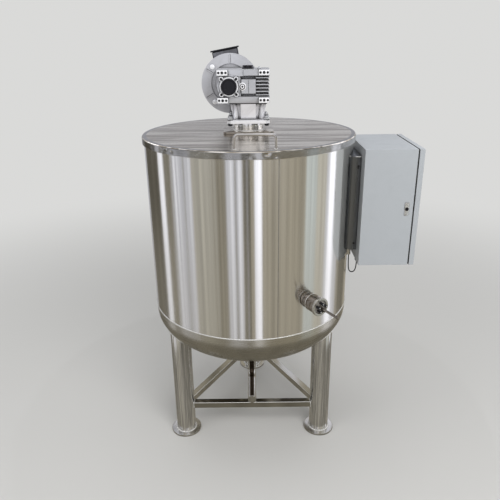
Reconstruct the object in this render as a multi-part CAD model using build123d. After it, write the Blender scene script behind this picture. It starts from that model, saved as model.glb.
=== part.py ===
"""Jacketed stainless heating and cooling tank on three legs, with a top-mounted gear motor,
an immersion heater, a bottom outlet and a control cabinet on a bracket.

Millimetres, +Z up. The tank is drawn round its own axis, with the floor at z = 0, and every
piece is then shifted by the same amount, so that the origin is the middle of the whole
object's footprint, on the floor. +X is the cabinet's side and -Y is the front.
"""
import os

from build123d import *
from math import atan2, cos, degrees, radians, sin, sqrt

# The vessel
shell_radius = 359.0          # outside of the jacket
shell_wall = 3.0
shell_height = 613.0          # from the seam to the lid
dish_clearance = 323.0        # floor to the lowest point of the dish
dish_depth = 180.0            # of the elliptical part
dish_straight = 20.0          # cylindrical part of the dish, under the seam
dish_wall = 4.0
jacket_space = 33.0           # between the jacket and the inner vessel
inner_wall = 3.0
inner_dish_depth = 160.0
inner_rim = 4.0               # thickness of the ring that closes the jacket at the top
seam_bead = 1.6               # how far the weld stands proud
seam_bead_width = 4.8

# The lid
lid_overhang = 6.0            # lid radius beyond the shell
lid_thickness = 3.0
lid_rim_height = 23.5
lid_edge_radius = 5.0
handle_bar = 8.0
handle_spacing = 121.0        # between the two legs of the handle
handle_height = 46.0
handle_bend = 12.0
handle_setback = 37.0         # from the lid's edge
handle_offset = 19.5          # from the middle, towards the cabinet

# Legs, feet and braces
leg_diameter = 73.0
leg_wall = 2.5
leg_inset = 57.5              # from the shell's outside to a leg's own axis
leg_angles = {"front_left": 210.0, "front_right": 330.0, "rear": 90.0}
foot_diameter = 114.0
foot_thickness = 8.0
brace_size = 25.0
brace_wall = 2.0
brace_top = 126.0             # height of the braces' upper face

# Outlet under the dish
outlet_diameter = 32.0
outlet_wall = 2.0
outlet_bend = 42.0
outlet_offset = 0.3           # small step between the pipe and the brace it lies on
cap_wall = 3.0
cap_length = 12.0

# Immersion heater, low on the shell
heater_angle = 32.0           # from the front, towards the cabinet
heater_height = 640.0
heater_boss_diameter = 50.0
heater_boss_reach = 17.0      # beyond the shell
heater_collar_diameter = 57.0
heater_collar_length = 35.0
heater_head_diameter = 62.0
heater_head_length = 11.0
heater_recess_diameter = 46.0 # in the head's face
heater_recess_depth = 8.0
heater_insert_thickness = 4.0
heater_stud_count = 5
heater_stud_circle = 28.0
heater_stud_diameter = 11.0   # with its black sleeve
heater_stud_length = 18.0
heater_sheath_diameter = 8.0
heater_sheath_length = 84.0   # beyond the head's face
heater_sheath_drop = 2.0      # the sheath leaves below the middle of the head

# Mixer: plate, neck, flange and worm gearbox
base_plate_size = (170.0, 124.0, 8.0)
base_plate_corner = 12.0
neck_diameter = 100.0
neck_wall = 4.0
neck_height = 28.0
flange_square = 142.0
flange_circle = 184.0
flange_thickness = 11.0
bell_bottom_diameter = 96.0
bell_top_diameter = 118.0
bell_height = 55.0
bell_face_width = 50.0        # flat faces cast on the bell's four sides
bell_face_proud = 3.0
bell_rib_thickness = 6.0
bell_rib_reach = 20.0         # how far a rib runs out from the bell's foot
centre_distance = 62.0        # worm axis to output axis
gearbox_depth = 144.0         # along the worm
gearbox_height = 104.0
gearbox_left = 101.0          # output axis to the worm side
gearbox_right = 70.5          # output axis to the other side
gearbox_recess = 9.0          # how far the sides lie behind the rails
gearbox_hollow = 26.0         # depth of the front between the worm's barrel and the fins
rail_height = 20.0
rail_setback = 7.0            # rails behind the faces of the pads
pad_size = (36.0, 18.0)
worm_boss_diameter = 60.0
worm_barrel_diameter = 76.0
worm_barrel_setback = 6.0
worm_lug_spacing = 48.5       # square of four screw lugs round the worm's cover
worm_lug_diameter = 15.0
worm_cover_diameter = 52.0
worm_cover_thickness = 6.0
cap_diameter = 39.0
cap_height = 11.0
plug_diameter = 20.0
plug_length = 7.0
plug_gap = 4.0                # between the plug and the worm's boss
side_boss_steps = ((-21.0, 6.0), (3.0, 3.0))   # left end and setback of each step
side_boss_right = 25.0
side_boss_height = 44.0
cap_base = (-14.0, 33.0, 3.0)       # left, right and setback of the block under the cap
fin_count = 6
fin_thickness = 3.0
fin_front = 8.0               # fins behind the faces of the pads
fin_setback = 1.0             # how far the fins end inside the housing's side

# Motor
motor_flange_diameter = 200.0
motor_flange_thickness = 12.0
flange_pocket = (50.0, 66.0, 5.0)   # inner and outer radius and depth of the cast recess
flange_rib_gap = 2.0          # from the recess to the ribs
flange_rib = (94.0, 4.0, 2.0)       # outer radius, thickness and height of the ribs
flange_rib_angles = (90.0, 150.0, 210.0, 270.0)
motor_diameter = 150.0
motor_length = 150.0
motor_fin_count = 28
motor_fin_height = 6.0
motor_fin_thickness = 3.0
fan_cover_length = 48.0
fan_cover_wall = 2.0
fan_cover_gap = 2.0           # fan cover's radius beyond the motor's fins
fan_slot_radii = (22.0, 34.0, 46.0, 58.0)
fan_slot_width = 6.0
fan_spoke_width = 10.0
terminal_tilt = 9.8           # turned about the motor's axis, away from the gearbox
terminal_width = 100.0
terminal_length = 92.0
terminal_top = 116.0          # motor axis to the top of the terminal box
terminal_height = 30.0        # box and lid together
terminal_seat_inset = 20.0    # how much narrower the motor's own seat for it is
terminal_lid_thickness = 5.0
terminal_lid_overhang = 5.0
terminal_setback = 12.0       # behind the motor's flange

# Control cabinet and its bracket
cabinet_standoff = 19.0       # shell to the cabinet's back
cabinet_depth = 171.5         # of the body, without the door
cabinet_width = 300.0
cabinet_height = 405.0
cabinet_bottom = 694.0
cabinet_wall = 1.5
cabinet_lip = 14.0
door_gap = 4.5
door_thickness = 17.0
seal_width = 9.0
seal_inset = 3.0
seal_clearance = 0.4
lock_height = 204.0           # above the cabinet's bottom
lock_setback = 21.0           # from the edge beside the door
lock_plate_size = (15.0, 46.0)
lock_plate_thickness = 2.0
lock_plate_corner = 4.0
lock_insert_diameter = 12.0
lock_insert_proud = 2.0
bracket_width = 184.0
bracket_height = 335.0
bracket_rise = 37.0           # bracket's lower edge above the cabinet's bottom
bracket_sheet = 3.0

# Door hinges, on the cabinet's rear corner
hinge_barrel = 9.0
hinge_pin = 4.0
hinge_pin_clearance = 0.08
hinge_length = 52.0
hinge_leaf = 2.5
hinge_leaf_reach = 20.0
hinge_axis_offset = 6.5       # behind the cabinet's rear face
hinge_inset = 55.0            # from the cabinet's top and bottom
knuckle_gap = 0.3

# Sensor lead, from a pocket on the jacket to a gland under the cabinet
pocket_diameter = 12.0
pocket_length = 22.0
pocket_drop = 8.0             # top of the pocket below the bracket's lower edge
gland_diameter = 16.0
gland_length = 18.0
gland_inset = 12.0            # gland's axis from the cabinet's back
lead_diameter = 4.0
lead_slack = 46.0             # how far the loop hangs below the gland
lead_shoulder = (7.0, 20.0)   # where the loop's foot turns up: inwards, and above its low point
lead_front = 60.0             # distance in front of the tank's axis
lead_bend = 10.8

# Levels and places that follow from the sizes
seam_z = dish_clearance + dish_depth + dish_straight
shell_top = seam_z + shell_height
lid_top = shell_top + lid_thickness
lid_radius = shell_radius + lid_overhang
leg_circle = shell_radius - leg_inset
inner_radius = shell_radius - shell_wall - jacket_space
inner_bottom = dish_clearance + dish_wall + jacket_space
base_plate_top = lid_top + base_plate_size[2]
flange_bottom = base_plate_top + neck_height
flange_top = flange_bottom + flange_thickness
gearbox_bottom = flange_top + bell_height
gearbox_top = gearbox_bottom + gearbox_height
worm_z = (gearbox_bottom + gearbox_top) / 2
worm_x = -centre_distance
gearbox_front = -gearbox_depth / 2
gearbox_rear = gearbox_depth / 2
motor_front = gearbox_rear + motor_flange_thickness
motor_body_front = motor_front + motor_flange_thickness
motor_body_rear = motor_body_front + motor_length
cabinet_left = shell_radius + cabinet_standoff
cabinet_right = cabinet_left + cabinet_depth
door_left = cabinet_right + door_gap
door_right = door_left + door_thickness
cabinet_front = -cabinet_width / 2
cabinet_rear = cabinet_width / 2
hinge_x = cabinet_right + door_gap / 2
hinge_y = cabinet_rear + hinge_axis_offset
brace_z = brace_top - brace_size / 2
outlet_z = brace_top + outlet_offset + outlet_diameter / 2
outlet_front = -leg_circle * sin(radians(30)) - brace_size / 2
heater_reach = (shell_radius + heater_boss_reach + heater_collar_length
                + heater_head_length + heater_sheath_length)

# The footprint's middle, which becomes the origin
left_most = -lid_radius
right_most = door_right
front_most = -(heater_reach * cos(radians(heater_angle))
               + heater_sheath_diameter / 2 * sin(radians(heater_angle)))
rear_most = lid_radius
shift_x = -(left_most + right_most) / 2
shift_y = -(front_most + rear_most) / 2

heater_direction = Vector(sin(radians(heater_angle)), -cos(radians(heater_angle)), 0)
pieces = {}


def keep(name, shape, color):
    """Files a finished piece under its name, moved to the part's own origin."""
    placed = Pos(shift_x, shift_y, 0) * shape
    placed.label = name
    placed.color = Color(*color)
    pieces[name] = placed


STEEL = (0.72, 0.72, 0.70)
SATIN = (0.60, 0.60, 0.58)
ALUMINIUM = (0.66, 0.67, 0.69)
BLACK = (0.06, 0.06, 0.07)
CABINET_GREY = (0.70, 0.72, 0.74)


def upright(radius, bottom, top, x=0.0, y=0.0):
    """A round bar standing on z = bottom."""
    return Pos(x, y, (bottom + top) / 2) * Cylinder(radius, top - bottom)


def block(x0, x1, y0, y1, z0, z1):
    """A square block between two corners."""
    return Pos((x0 + x1) / 2, (y0 + y1) / 2, (z0 + z1) / 2) * Box(x1 - x0, y1 - y0, z1 - z0)


def along_y(radius, front, rear, x, z):
    """A round bar lying along Y."""
    return Pos(x, (front + rear) / 2, z) * Rot(90, 0, 0) * Cylinder(radius, rear - front)


def turned(outline):
    """A closed outline of (radius, height) points and curves turned round the tank's axis."""
    return revolve(Plane.XZ * make_face(outline), Axis.Z, 360)


def dish_outline(radius, top, straight, depth):
    """Half of a dish: straight wall and quarter ellipse, closed along the axis and the top."""
    knee = top - straight
    lines = [Line((0, top), (radius, top)),
             Line((radius, top), (radius, knee)),
             EllipticalCenterArc((0, knee), radius, depth, start_angle=270, arc_size=90),
             Line((0, knee - depth), (0, top))]
    return lines


def filled_dish(radius, top, straight, depth):
    """The dish as one solid, used for hollowing, trimming and coping."""
    return turned(dish_outline(radius, top, straight, depth))


outer_dish = filled_dish(shell_radius, seam_z, dish_straight, dish_depth)


def build_vessel():
    shell = (upright(shell_radius, seam_z, shell_top)
             - upright(shell_radius - shell_wall, seam_z, shell_top))
    pipe_hole = upright(outlet_diameter / 2, dish_clearance - dish_depth, seam_z)
    dish = (outer_dish
            - filled_dish(shell_radius - dish_wall, seam_z, dish_straight, dish_depth - dish_wall)
            - pipe_hole)
    boss_hole = heater_bar(heater_boss_diameter / 2, 0, shell_radius * 2)
    keep("jacket_shell", shell - boss_hole, STEEL)
    keep("jacket_dish", dish, SATIN)

    low, high = seam_z - seam_bead_width / 2, seam_z + seam_bead_width / 2
    keep("seam_weld", turned([
        Line((shell_radius, low), (shell_radius, high)),
        ThreePointArc((shell_radius, high), (shell_radius + seam_bead, seam_z),
                      (shell_radius, low))]), SATIN)

    inner_top = shell_top - inner_rim
    knee = inner_bottom + inner_dish_depth
    inner = (filled_dish(inner_radius, inner_top, inner_top - knee, inner_dish_depth)
             - filled_dish(inner_radius - inner_wall, inner_top, inner_top - knee,
                           inner_dish_depth - inner_wall)
             - upright(outlet_diameter / 2, 0, knee))
    keep("inner_vessel", inner, SATIN)
    ring = (upright(shell_radius - shell_wall, inner_top, shell_top)
            - upright(inner_radius - inner_wall, inner_top, shell_top))
    keep("top_ring", ring, SATIN)


def build_lid():
    rim_bottom = lid_top - lid_rim_height
    outline = Polyline((0, lid_top), (lid_radius, lid_top), (lid_radius, rim_bottom),
                       (lid_radius - lid_thickness, rim_bottom),
                       (lid_radius - lid_thickness, shell_top), (0, shell_top), close=True)
    lid = turned(outline)
    outer_edge = lid.edges().filter_by(GeomType.CIRCLE).sort_by(Axis.Z)[-1]
    keep("lid", fillet(outer_edge, lid_edge_radius), STEEL)

    y = -(lid_radius - handle_setback)
    left = handle_offset - handle_spacing / 2
    right = handle_offset + handle_spacing / 2
    top = lid_top + handle_height - handle_bar / 2
    path = FilletPolyline((left, y, lid_top), (left, y, top), (right, y, top),
                          (right, y, lid_top), radius=handle_bend)
    handle = sweep(Plane((left, y, lid_top)) * Circle(handle_bar / 2), path=path)
    keep("lid_handle", handle, STEEL)


def leg_place(angle):
    return leg_circle * cos(radians(angle)), leg_circle * sin(radians(angle))


def build_legs():
    for name, angle in leg_angles.items():
        x, y = leg_place(angle)
        tube = (upright(leg_diameter / 2, foot_thickness, seam_z, x, y)
                - upright(leg_diameter / 2 - leg_wall, foot_thickness, seam_z, x, y))
        keep(f"leg_{name}", tube - outer_dish, STEEL)
        keep(f"foot_{name}", upright(foot_diameter / 2, 0, foot_thickness, x, y), STEEL)

    names = list(leg_angles)
    sides = {"front": (names[0], names[1]), "left": (names[0], names[2]),
             "right": (names[1], names[2])}
    for side, (start, end) in sides.items():
        a, b = Vector(*leg_place(leg_angles[start])), Vector(*leg_place(leg_angles[end]))
        heading = degrees(atan2(b.Y - a.Y, b.X - a.X))
        middle = (a + b) / 2
        length = (b - a).length
        tube = (Box(length, brace_size, brace_size)
                - Box(length, brace_size - 2 * brace_wall, brace_size - 2 * brace_wall))
        brace = Pos(middle.X, middle.Y, brace_z) * Rot(0, 0, heading) * tube
        for end_point in (a, b):
            brace -= upright(leg_diameter / 2, 0, seam_z, end_point.X, end_point.Y)
        keep(f"brace_{side}", brace, STEEL)


def build_outlet():
    top = inner_bottom + inner_wall
    path = FilletPolyline((0, 0, top), (0, 0, outlet_z), (0, outlet_front, outlet_z),
                          radius=outlet_bend)
    plane = Plane((0, 0, top))
    pipe = (sweep(plane * Circle(outlet_diameter / 2), path=path)
            - sweep(plane * Circle(outlet_diameter / 2 - outlet_wall), path=path))
    keep("outlet_pipe", pipe, STEEL)
    plug = along_y(outlet_diameter / 2 - outlet_wall, outlet_front, outlet_front + cap_length,
                   0, outlet_z)
    face = along_y(outlet_diameter / 2 + outlet_offset, outlet_front - cap_wall, outlet_front,
                   0, outlet_z)
    keep("outlet_cap", plug + face, STEEL)


def heater_plane(distance, drop=0.0):
    """A plane square to the heater's line, with x level and y up, away from the tank's axis."""
    spot = heater_direction * distance
    return Plane(origin=(spot.X, spot.Y, heater_height - drop), z_dir=heater_direction,
                 x_dir=(-heater_direction.Y, heater_direction.X, 0))


def heater_bar(radius, start, end, drop=0.0):
    """A round bar along the heater's line, from and to distances from the tank's axis."""
    return heater_plane((start + end) / 2, drop) * Cylinder(radius, end - start)


def build_heater():
    boss_end = shell_radius + heater_boss_reach
    collar_end = boss_end + heater_collar_length
    head_end = collar_end + heater_head_length
    boss = (heater_bar(heater_boss_diameter / 2, inner_radius, boss_end)
            - upright(shell_radius - shell_wall, seam_z, shell_top))
    keep("heater_boss", boss, STEEL)
    keep("heater_collar", heater_bar(heater_collar_diameter / 2, boss_end, collar_end), STEEL)
    recess_floor = head_end - heater_recess_depth
    insert_face = recess_floor + heater_insert_thickness
    head = (heater_bar(heater_head_diameter / 2, collar_end, head_end)
            - heater_bar(heater_recess_diameter / 2, recess_floor, head_end))
    keep("heater_head", head, STEEL)
    keep("heater_insert", heater_bar(heater_recess_diameter / 2, recess_floor, insert_face), BLACK)
    studs = []
    for number in range(heater_stud_count):
        angle = radians(90 + 360 * number / heater_stud_count)
        x = heater_stud_circle / 2 * cos(angle)
        y = heater_stud_circle / 2 * sin(angle)
        stud = Cylinder(heater_stud_diameter / 2, heater_stud_length)
        studs.append(heater_plane(insert_face + heater_stud_length / 2) * Pos(x, y, 0) * stud)
    keep("heater_terminals", Compound(children=studs), STEEL)
    keep("heater_sheath", heater_bar(heater_sheath_diameter / 2, insert_face,
                                     head_end + heater_sheath_length, heater_sheath_drop), STEEL)


def build_mixer_stand():
    width, depth, thickness = base_plate_size
    plate = Pos(0, 0, lid_top + thickness / 2) * Box(width, depth, thickness)
    keep("mixer_plate", fillet(plate.edges().filter_by(Axis.Z), base_plate_corner), STEEL)
    neck = (upright(neck_diameter / 2, base_plate_top, flange_bottom)
            - upright(neck_diameter / 2 - neck_wall, base_plate_top, flange_bottom))
    keep("mixer_neck", neck, STEEL)

    square = Pos(0, 0, (flange_bottom + flange_top) / 2) * Box(flange_square, flange_square,
                                                               flange_thickness)
    plate = square & upright(flange_circle / 2, flange_bottom, flange_top)
    flare = turned(Polyline((0, flange_top), (bell_bottom_diameter / 2, flange_top),
                            (bell_top_diameter / 2, gearbox_bottom), (0, gearbox_bottom),
                            close=True))
    face_reach = bell_top_diameter / 2 + bell_face_proud
    face_low = bell_bottom_diameter / 2 + bell_face_proud
    cast_face = make_face(Polyline((0, flange_top), (face_low, flange_top),
                                   (face_reach, gearbox_bottom), (0, gearbox_bottom),
                                   close=True))
    rib_face = make_face(Polyline((0, flange_top),
                                  (bell_bottom_diameter / 2 + bell_rib_reach, flange_top),
                                  (bell_top_diameter / 2, gearbox_bottom), (0, gearbox_bottom),
                                  close=True))
    flange = plate + flare
    for turn in (0, 90, 180, 270):
        flange += Rot(0, 0, turn) * extrude(Plane.XZ * cast_face, bell_face_width / 2, both=True)
        flange += Rot(0, 0, turn + 45) * extrude(Plane.XZ * rib_face, bell_rib_thickness / 2,
                                                 both=True)
    keep("output_flange", flange, ALUMINIUM)


def build_gearbox():
    low, high = gearbox_bottom + rail_height, gearbox_top - rail_height
    barrel_right = worm_x + worm_barrel_diameter / 2
    housing = (block(-gearbox_left + gearbox_recess, barrel_right,
                     gearbox_front + gearbox_recess, gearbox_rear, low, high)
               + block(barrel_right, gearbox_right - gearbox_recess,
                       gearbox_front + gearbox_hollow, gearbox_rear, low, high))
    for rail_low, rail_high in ((gearbox_bottom, low), (high, gearbox_top)):
        housing += block(-gearbox_left, gearbox_right, gearbox_front + rail_setback,
                         gearbox_rear, rail_low, rail_high)
    barrel_front = gearbox_front + worm_barrel_setback
    housing += along_y(worm_barrel_diameter / 2, barrel_front, gearbox_rear, worm_x, worm_z)
    pad_width, pad_height = pad_size
    for x in (-gearbox_left + pad_width / 2, gearbox_right - pad_width / 2):
        for z in (gearbox_bottom + pad_height / 2, gearbox_top - pad_height / 2):
            housing += block(x - pad_width / 2, x + pad_width / 2, gearbox_front, 0,
                             z - pad_height / 2, z + pad_height / 2)
    base_left, base_right, base_setback = cap_base
    housing += block(base_left, base_right, gearbox_front + base_setback, 0,
                     gearbox_top - pad_height, gearbox_top)
    housing += along_y(worm_boss_diameter / 2, gearbox_front, 0, worm_x, worm_z)
    for x in (worm_x - worm_lug_spacing / 2, worm_x + worm_lug_spacing / 2):
        for z in (worm_z - worm_lug_spacing / 2, worm_z + worm_lug_spacing / 2):
            housing += along_y(worm_lug_diameter / 2, gearbox_front, 0, x, z)
    for left, setback in side_boss_steps:
        housing += block(left, side_boss_right, gearbox_front + setback, 0,
                         worm_z - side_boss_height / 2, worm_z + side_boss_height / 2)
    for number in range(fin_count):
        z = low + (high - low) * (number + 0.5) / fin_count
        housing += block(side_boss_right, gearbox_right - fin_setback, gearbox_front + fin_front,
                         gearbox_rear - gearbox_recess, z - fin_thickness / 2,
                         z + fin_thickness / 2)
    plug_x = worm_x + worm_boss_diameter / 2 + plug_diameter / 2 + plug_gap
    housing += along_y(plug_diameter / 2 + plug_gap / 2, barrel_front, 0, plug_x, worm_z)
    keep("gearbox_housing", housing, ALUMINIUM)

    keep("worm_cover", along_y(worm_cover_diameter / 2, gearbox_front - worm_cover_thickness,
                               gearbox_front, worm_x, worm_z), BLACK)
    keep("shaft_cap", upright(cap_diameter / 2, gearbox_top, gearbox_top + cap_height), BLACK)
    keep("level_plug", along_y(plug_diameter / 2, barrel_front - plug_length, barrel_front,
                               plug_x, worm_z), ALUMINIUM)


def build_motor():
    pocket_inner, pocket_outer, pocket_depth = flange_pocket
    rib_outer, rib_thickness, rib_height = flange_rib
    flange = along_y(motor_flange_diameter / 2, gearbox_rear, motor_front, worm_x, worm_z)
    flange -= (along_y(pocket_outer, gearbox_rear, gearbox_rear + pocket_depth, worm_x, worm_z)
               - along_y(pocket_inner, gearbox_rear, gearbox_rear + pocket_depth, worm_x, worm_z))
    rib = block(pocket_outer + flange_rib_gap, rib_outer, gearbox_rear - rib_height, gearbox_rear,
                -rib_thickness / 2, rib_thickness / 2)
    for angle in flange_rib_angles:
        flange += Pos(worm_x, 0, worm_z) * Rot(0, -angle, 0) * rib
    keep("input_flange", flange, ALUMINIUM)
    keep("motor_flange", along_y(motor_flange_diameter / 2, motor_front, motor_body_front,
                                 worm_x, worm_z), ALUMINIUM)
    core_radius = motor_diameter / 2 - motor_fin_height
    body = along_y(core_radius, motor_body_front, motor_body_rear, worm_x, worm_z)
    for number in range(motor_fin_count):
        angle = 360 * number / motor_fin_count
        fin = Pos(0, 0, motor_diameter / 2 - motor_fin_height) * Box(
            motor_fin_thickness, motor_length, 2 * motor_fin_height)
        body += (Pos(worm_x, (motor_body_front + motor_body_rear) / 2, worm_z)
                 * Rot(0, angle, 0) * fin)
    box_bottom = terminal_top - terminal_height
    seat = terminal_block(terminal_width - terminal_seat_inset, 0, box_bottom)
    keep("motor_body", body + seat, ALUMINIUM)

    cover_radius = motor_diameter / 2 + fan_cover_gap
    cover_rear = motor_body_rear + fan_cover_length
    cover_face = cover_rear - fan_cover_wall
    cover = (along_y(cover_radius, motor_body_rear, cover_rear, worm_x, worm_z)
             - along_y(cover_radius - fan_cover_wall, motor_body_rear, cover_face,
                       worm_x, worm_z))
    spokes = Pos(worm_x, cover_rear, worm_z) * (
        Box(fan_spoke_width, 2 * fan_cover_length, 2 * cover_radius)
        + Box(2 * cover_radius, 2 * fan_cover_length, fan_spoke_width))
    for radius in fan_slot_radii:
        slot = (along_y(radius + fan_slot_width / 2, cover_face, cover_rear, worm_x, worm_z)
                - along_y(radius - fan_slot_width / 2, cover_face, cover_rear, worm_x, worm_z))
        cover -= slot - spokes
    keep("fan_cover", cover, ALUMINIUM)

    lid_bottom = terminal_top - terminal_lid_thickness
    keep("terminal_box", terminal_block(terminal_width - 2 * terminal_lid_overhang,
                                        box_bottom, lid_bottom), BLACK)
    keep("terminal_lid", terminal_block(terminal_width, lid_bottom, terminal_top), BLACK)


def terminal_block(width, low, high):
    """A block on the motor, square to a line turned away from the gearbox."""
    middle_y = motor_body_front + terminal_setback + terminal_length / 2
    length = terminal_length - (terminal_width - width)
    return (Pos(worm_x, middle_y, worm_z) * Rot(0, -terminal_tilt, 0)
            * Pos(0, 0, (low + high) / 2) * Box(width, length, high - low))


def build_cabinet():
    wall = cabinet_wall
    top = cabinet_bottom + cabinet_height
    outside = block(cabinet_left, cabinet_right, cabinet_front, cabinet_rear, cabinet_bottom, top)
    inside = block(cabinet_left + wall, cabinet_right - wall, cabinet_front + wall,
                   cabinet_rear - wall, cabinet_bottom + wall, top - wall)
    mouth = block(cabinet_right - wall, cabinet_right, cabinet_front + cabinet_lip,
                  cabinet_rear - cabinet_lip, cabinet_bottom + cabinet_lip, top - cabinet_lip)
    keep("cabinet_body", outside - inside - mouth, CABINET_GREY)

    slab = block(door_left, door_right, cabinet_front, cabinet_rear, cabinet_bottom, top)
    hollow = block(door_left + wall, door_right - wall, cabinet_front + wall, cabinet_rear - wall,
                   cabinet_bottom + wall, top - wall)
    back_mouth = block(door_left, door_left + wall, cabinet_front + cabinet_lip,
                       cabinet_rear - cabinet_lip, cabinet_bottom + cabinet_lip,
                       top - cabinet_lip)
    keep("cabinet_door", slab - hollow - back_mouth, CABINET_GREY)

    seal_back = cabinet_right + seal_clearance
    rim = seal_inset
    band = seal_inset + seal_width
    seal = (block(seal_back, door_left, cabinet_front + rim, cabinet_rear - rim,
                  cabinet_bottom + rim, top - rim)
            - block(seal_back, door_left, cabinet_front + band, cabinet_rear - band,
                    cabinet_bottom + band, top - band))
    keep("door_seal", seal, BLACK)

    lock_z = cabinet_bottom + lock_height
    lock_x = cabinet_right - lock_setback
    width, height = lock_plate_size
    front = cabinet_front - lock_plate_thickness
    plate = block(lock_x - width / 2, lock_x + width / 2, front, cabinet_front,
                  lock_z - height / 2, lock_z + height / 2)
    keep("lock_plate", fillet(plate.edges().filter_by(Axis.Y), lock_plate_corner), STEEL)
    keep("lock_insert", along_y(lock_insert_diameter / 2, front - lock_insert_proud, front,
                                lock_x, lock_z), BLACK)


def build_bracket():
    bottom = cabinet_bottom + bracket_rise
    top = bottom + bracket_height
    outside = block(0, cabinet_left, -bracket_width / 2, bracket_width / 2, bottom, top)
    inside = block(0, cabinet_left - bracket_sheet, -bracket_width / 2 + bracket_sheet,
                   bracket_width / 2 - bracket_sheet, bottom, top - bracket_sheet)
    bracket = outside - inside - upright(shell_radius, bottom, top)
    keep("cabinet_bracket", bracket, STEEL)


def build_hinges():
    top = cabinet_bottom + cabinet_height
    places = {"lower": cabinet_bottom + hinge_inset, "upper": top - hinge_inset}
    for name, middle in places.items():
        low = middle - hinge_length / 2
        high = middle + hinge_length / 2
        leaf_rear = cabinet_rear + hinge_leaf
        fixed = (block(cabinet_right - hinge_leaf_reach, hinge_x, cabinet_rear, leaf_rear,
                       low, middle - knuckle_gap / 2)
                 + upright(hinge_barrel / 2, low, middle - knuckle_gap / 2, hinge_x, hinge_y)
                 + upright(hinge_pin / 2, middle - knuckle_gap, high, hinge_x, hinge_y))
        keep(f"hinge_{name}_fixed", fixed, STEEL)
        moving = (block(hinge_x, door_right, cabinet_rear, leaf_rear, middle + knuckle_gap / 2,
                        high)
                  + upright(hinge_barrel / 2, middle + knuckle_gap / 2, high, hinge_x, hinge_y)
                  - upright(hinge_pin / 2 + hinge_pin_clearance, middle, high, hinge_x, hinge_y))
        keep(f"hinge_{name}_door", moving, STEEL)


def build_lead():
    """A thin lead that hangs in one loop from a pocket on the jacket to the cabinet's gland."""
    y = -lead_front
    pocket_top = cabinet_bottom + bracket_rise - pocket_drop
    pocket_bottom = pocket_top - pocket_length
    pocket_x = sqrt(shell_radius ** 2 - lead_front ** 2) + pocket_diameter / 2
    pocket = (upright(pocket_diameter / 2, pocket_bottom, pocket_top, pocket_x, y)
              + block(shell_radius - pocket_diameter, pocket_x, y - pocket_diameter / 2,
                      y + pocket_diameter / 2, pocket_bottom, pocket_top)
              - upright(shell_radius, pocket_bottom, pocket_top))
    keep("sensor_pocket", pocket, STEEL)

    gland_x = cabinet_left + gland_inset
    gland_bottom = cabinet_bottom - gland_length
    keep("cable_gland", upright(gland_diameter / 2, gland_bottom, cabinet_bottom, gland_x, y),
         BLACK)

    low = gland_bottom - lead_slack
    inwards, above = lead_shoulder
    path = FilletPolyline((pocket_x, y, pocket_bottom), (pocket_x, y, low + above),
                          (pocket_x + inwards, y, low), (gland_x - inwards, y, low),
                          (gland_x, y, low + above), (gland_x, y, gland_bottom),
                          radius=lead_bend)
    lead = sweep(Plane((pocket_x, y, pocket_bottom)) * Circle(lead_diameter / 2), path=path)
    keep("sensor_lead", lead, BLACK)


build_vessel()
build_lid()
build_legs()
build_outlet()
build_heater()
build_mixer_stand()
build_gearbox()
build_motor()
build_cabinet()
build_bracket()
build_hinges()
build_lead()

os.makedirs("parts", exist_ok=True)
for name, piece in pieces.items():
    export_step(piece, f"parts/{name}.step")
    print(f"{name:20s} volume {piece.volume / 1000:9.1f} cm3")
print(len(pieces), "pieces, shifted by", shift_x, shift_y)
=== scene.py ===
# %% [markdown]
# # Dressing a heating and cooling tank
# The imported CAD model is the frame: every piece at its real size, in metres, on the floor. Each
# step says what the real surface is and why it is made this way. The first cell loads the frame.

# %% Load the frame
from math import cos, pi, radians, sin, sqrt

import bmesh
import bpy
import numpy as np
from mathutils import Matrix, Vector


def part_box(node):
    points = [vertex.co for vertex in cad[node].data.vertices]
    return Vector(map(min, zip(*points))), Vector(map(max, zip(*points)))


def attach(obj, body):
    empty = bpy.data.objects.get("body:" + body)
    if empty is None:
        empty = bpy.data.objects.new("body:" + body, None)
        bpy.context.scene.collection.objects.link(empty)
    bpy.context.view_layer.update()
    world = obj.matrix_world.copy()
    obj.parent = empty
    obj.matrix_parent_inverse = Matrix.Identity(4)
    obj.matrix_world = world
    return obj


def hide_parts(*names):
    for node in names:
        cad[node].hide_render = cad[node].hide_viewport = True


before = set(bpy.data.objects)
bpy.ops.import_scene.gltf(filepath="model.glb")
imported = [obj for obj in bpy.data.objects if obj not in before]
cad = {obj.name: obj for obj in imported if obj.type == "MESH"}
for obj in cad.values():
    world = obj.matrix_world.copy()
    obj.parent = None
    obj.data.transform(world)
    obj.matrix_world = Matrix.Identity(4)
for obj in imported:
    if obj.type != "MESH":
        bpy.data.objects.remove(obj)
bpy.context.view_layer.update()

# %% [markdown]
# ## One set of coordinates
# A round tank is easiest to describe from its own axis, in millimetres, as on its drawing. The
# middle of the round lid's box is that axis. Scene metres come in only when a mesh is filled.

# %% The tank's own millimetres
mm = 0.001
ground = np.mean(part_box("lid"), axis=0) * [1, 1, 0]


def spot(x, y, z):
    """A point of the tank's millimetres in scene metres: the axis plus mm times the point."""
    return Vector(ground + mm * np.array([x, y, z]))


def reach(node):
    """A CAD node's lowest and highest corner in the tank's millimetres."""
    return [(np.array(corner) - ground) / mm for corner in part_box(node)]


def middle(node):
    """The middle of a CAD node's box in the tank's millimetres."""
    return sum(reach(node)) / 2


def add(name, data):
    """Puts an object with this data into the scene."""
    made = bpy.data.objects.new(name, data)
    bpy.context.scene.collection.objects.link(made)
    return made


def new_mesh(name, points, faces):
    """A mesh of points in metres, and of faces that name their points by number."""
    mesh = bpy.data.meshes.new(name)
    mesh.from_pydata(points.tolist(), [], faces.tolist())
    return mesh


def grid_faces(rows, columns):
    """Four-sided faces between the points of a grid, numbered row by row."""
    index = np.arange(rows * columns).reshape(rows, columns)
    corners = [index[:-1, :-1], index[:-1, 1:], index[1:, 1:], index[1:, :-1]]
    return np.stack(corners, -1).reshape(-1, 4)


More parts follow.
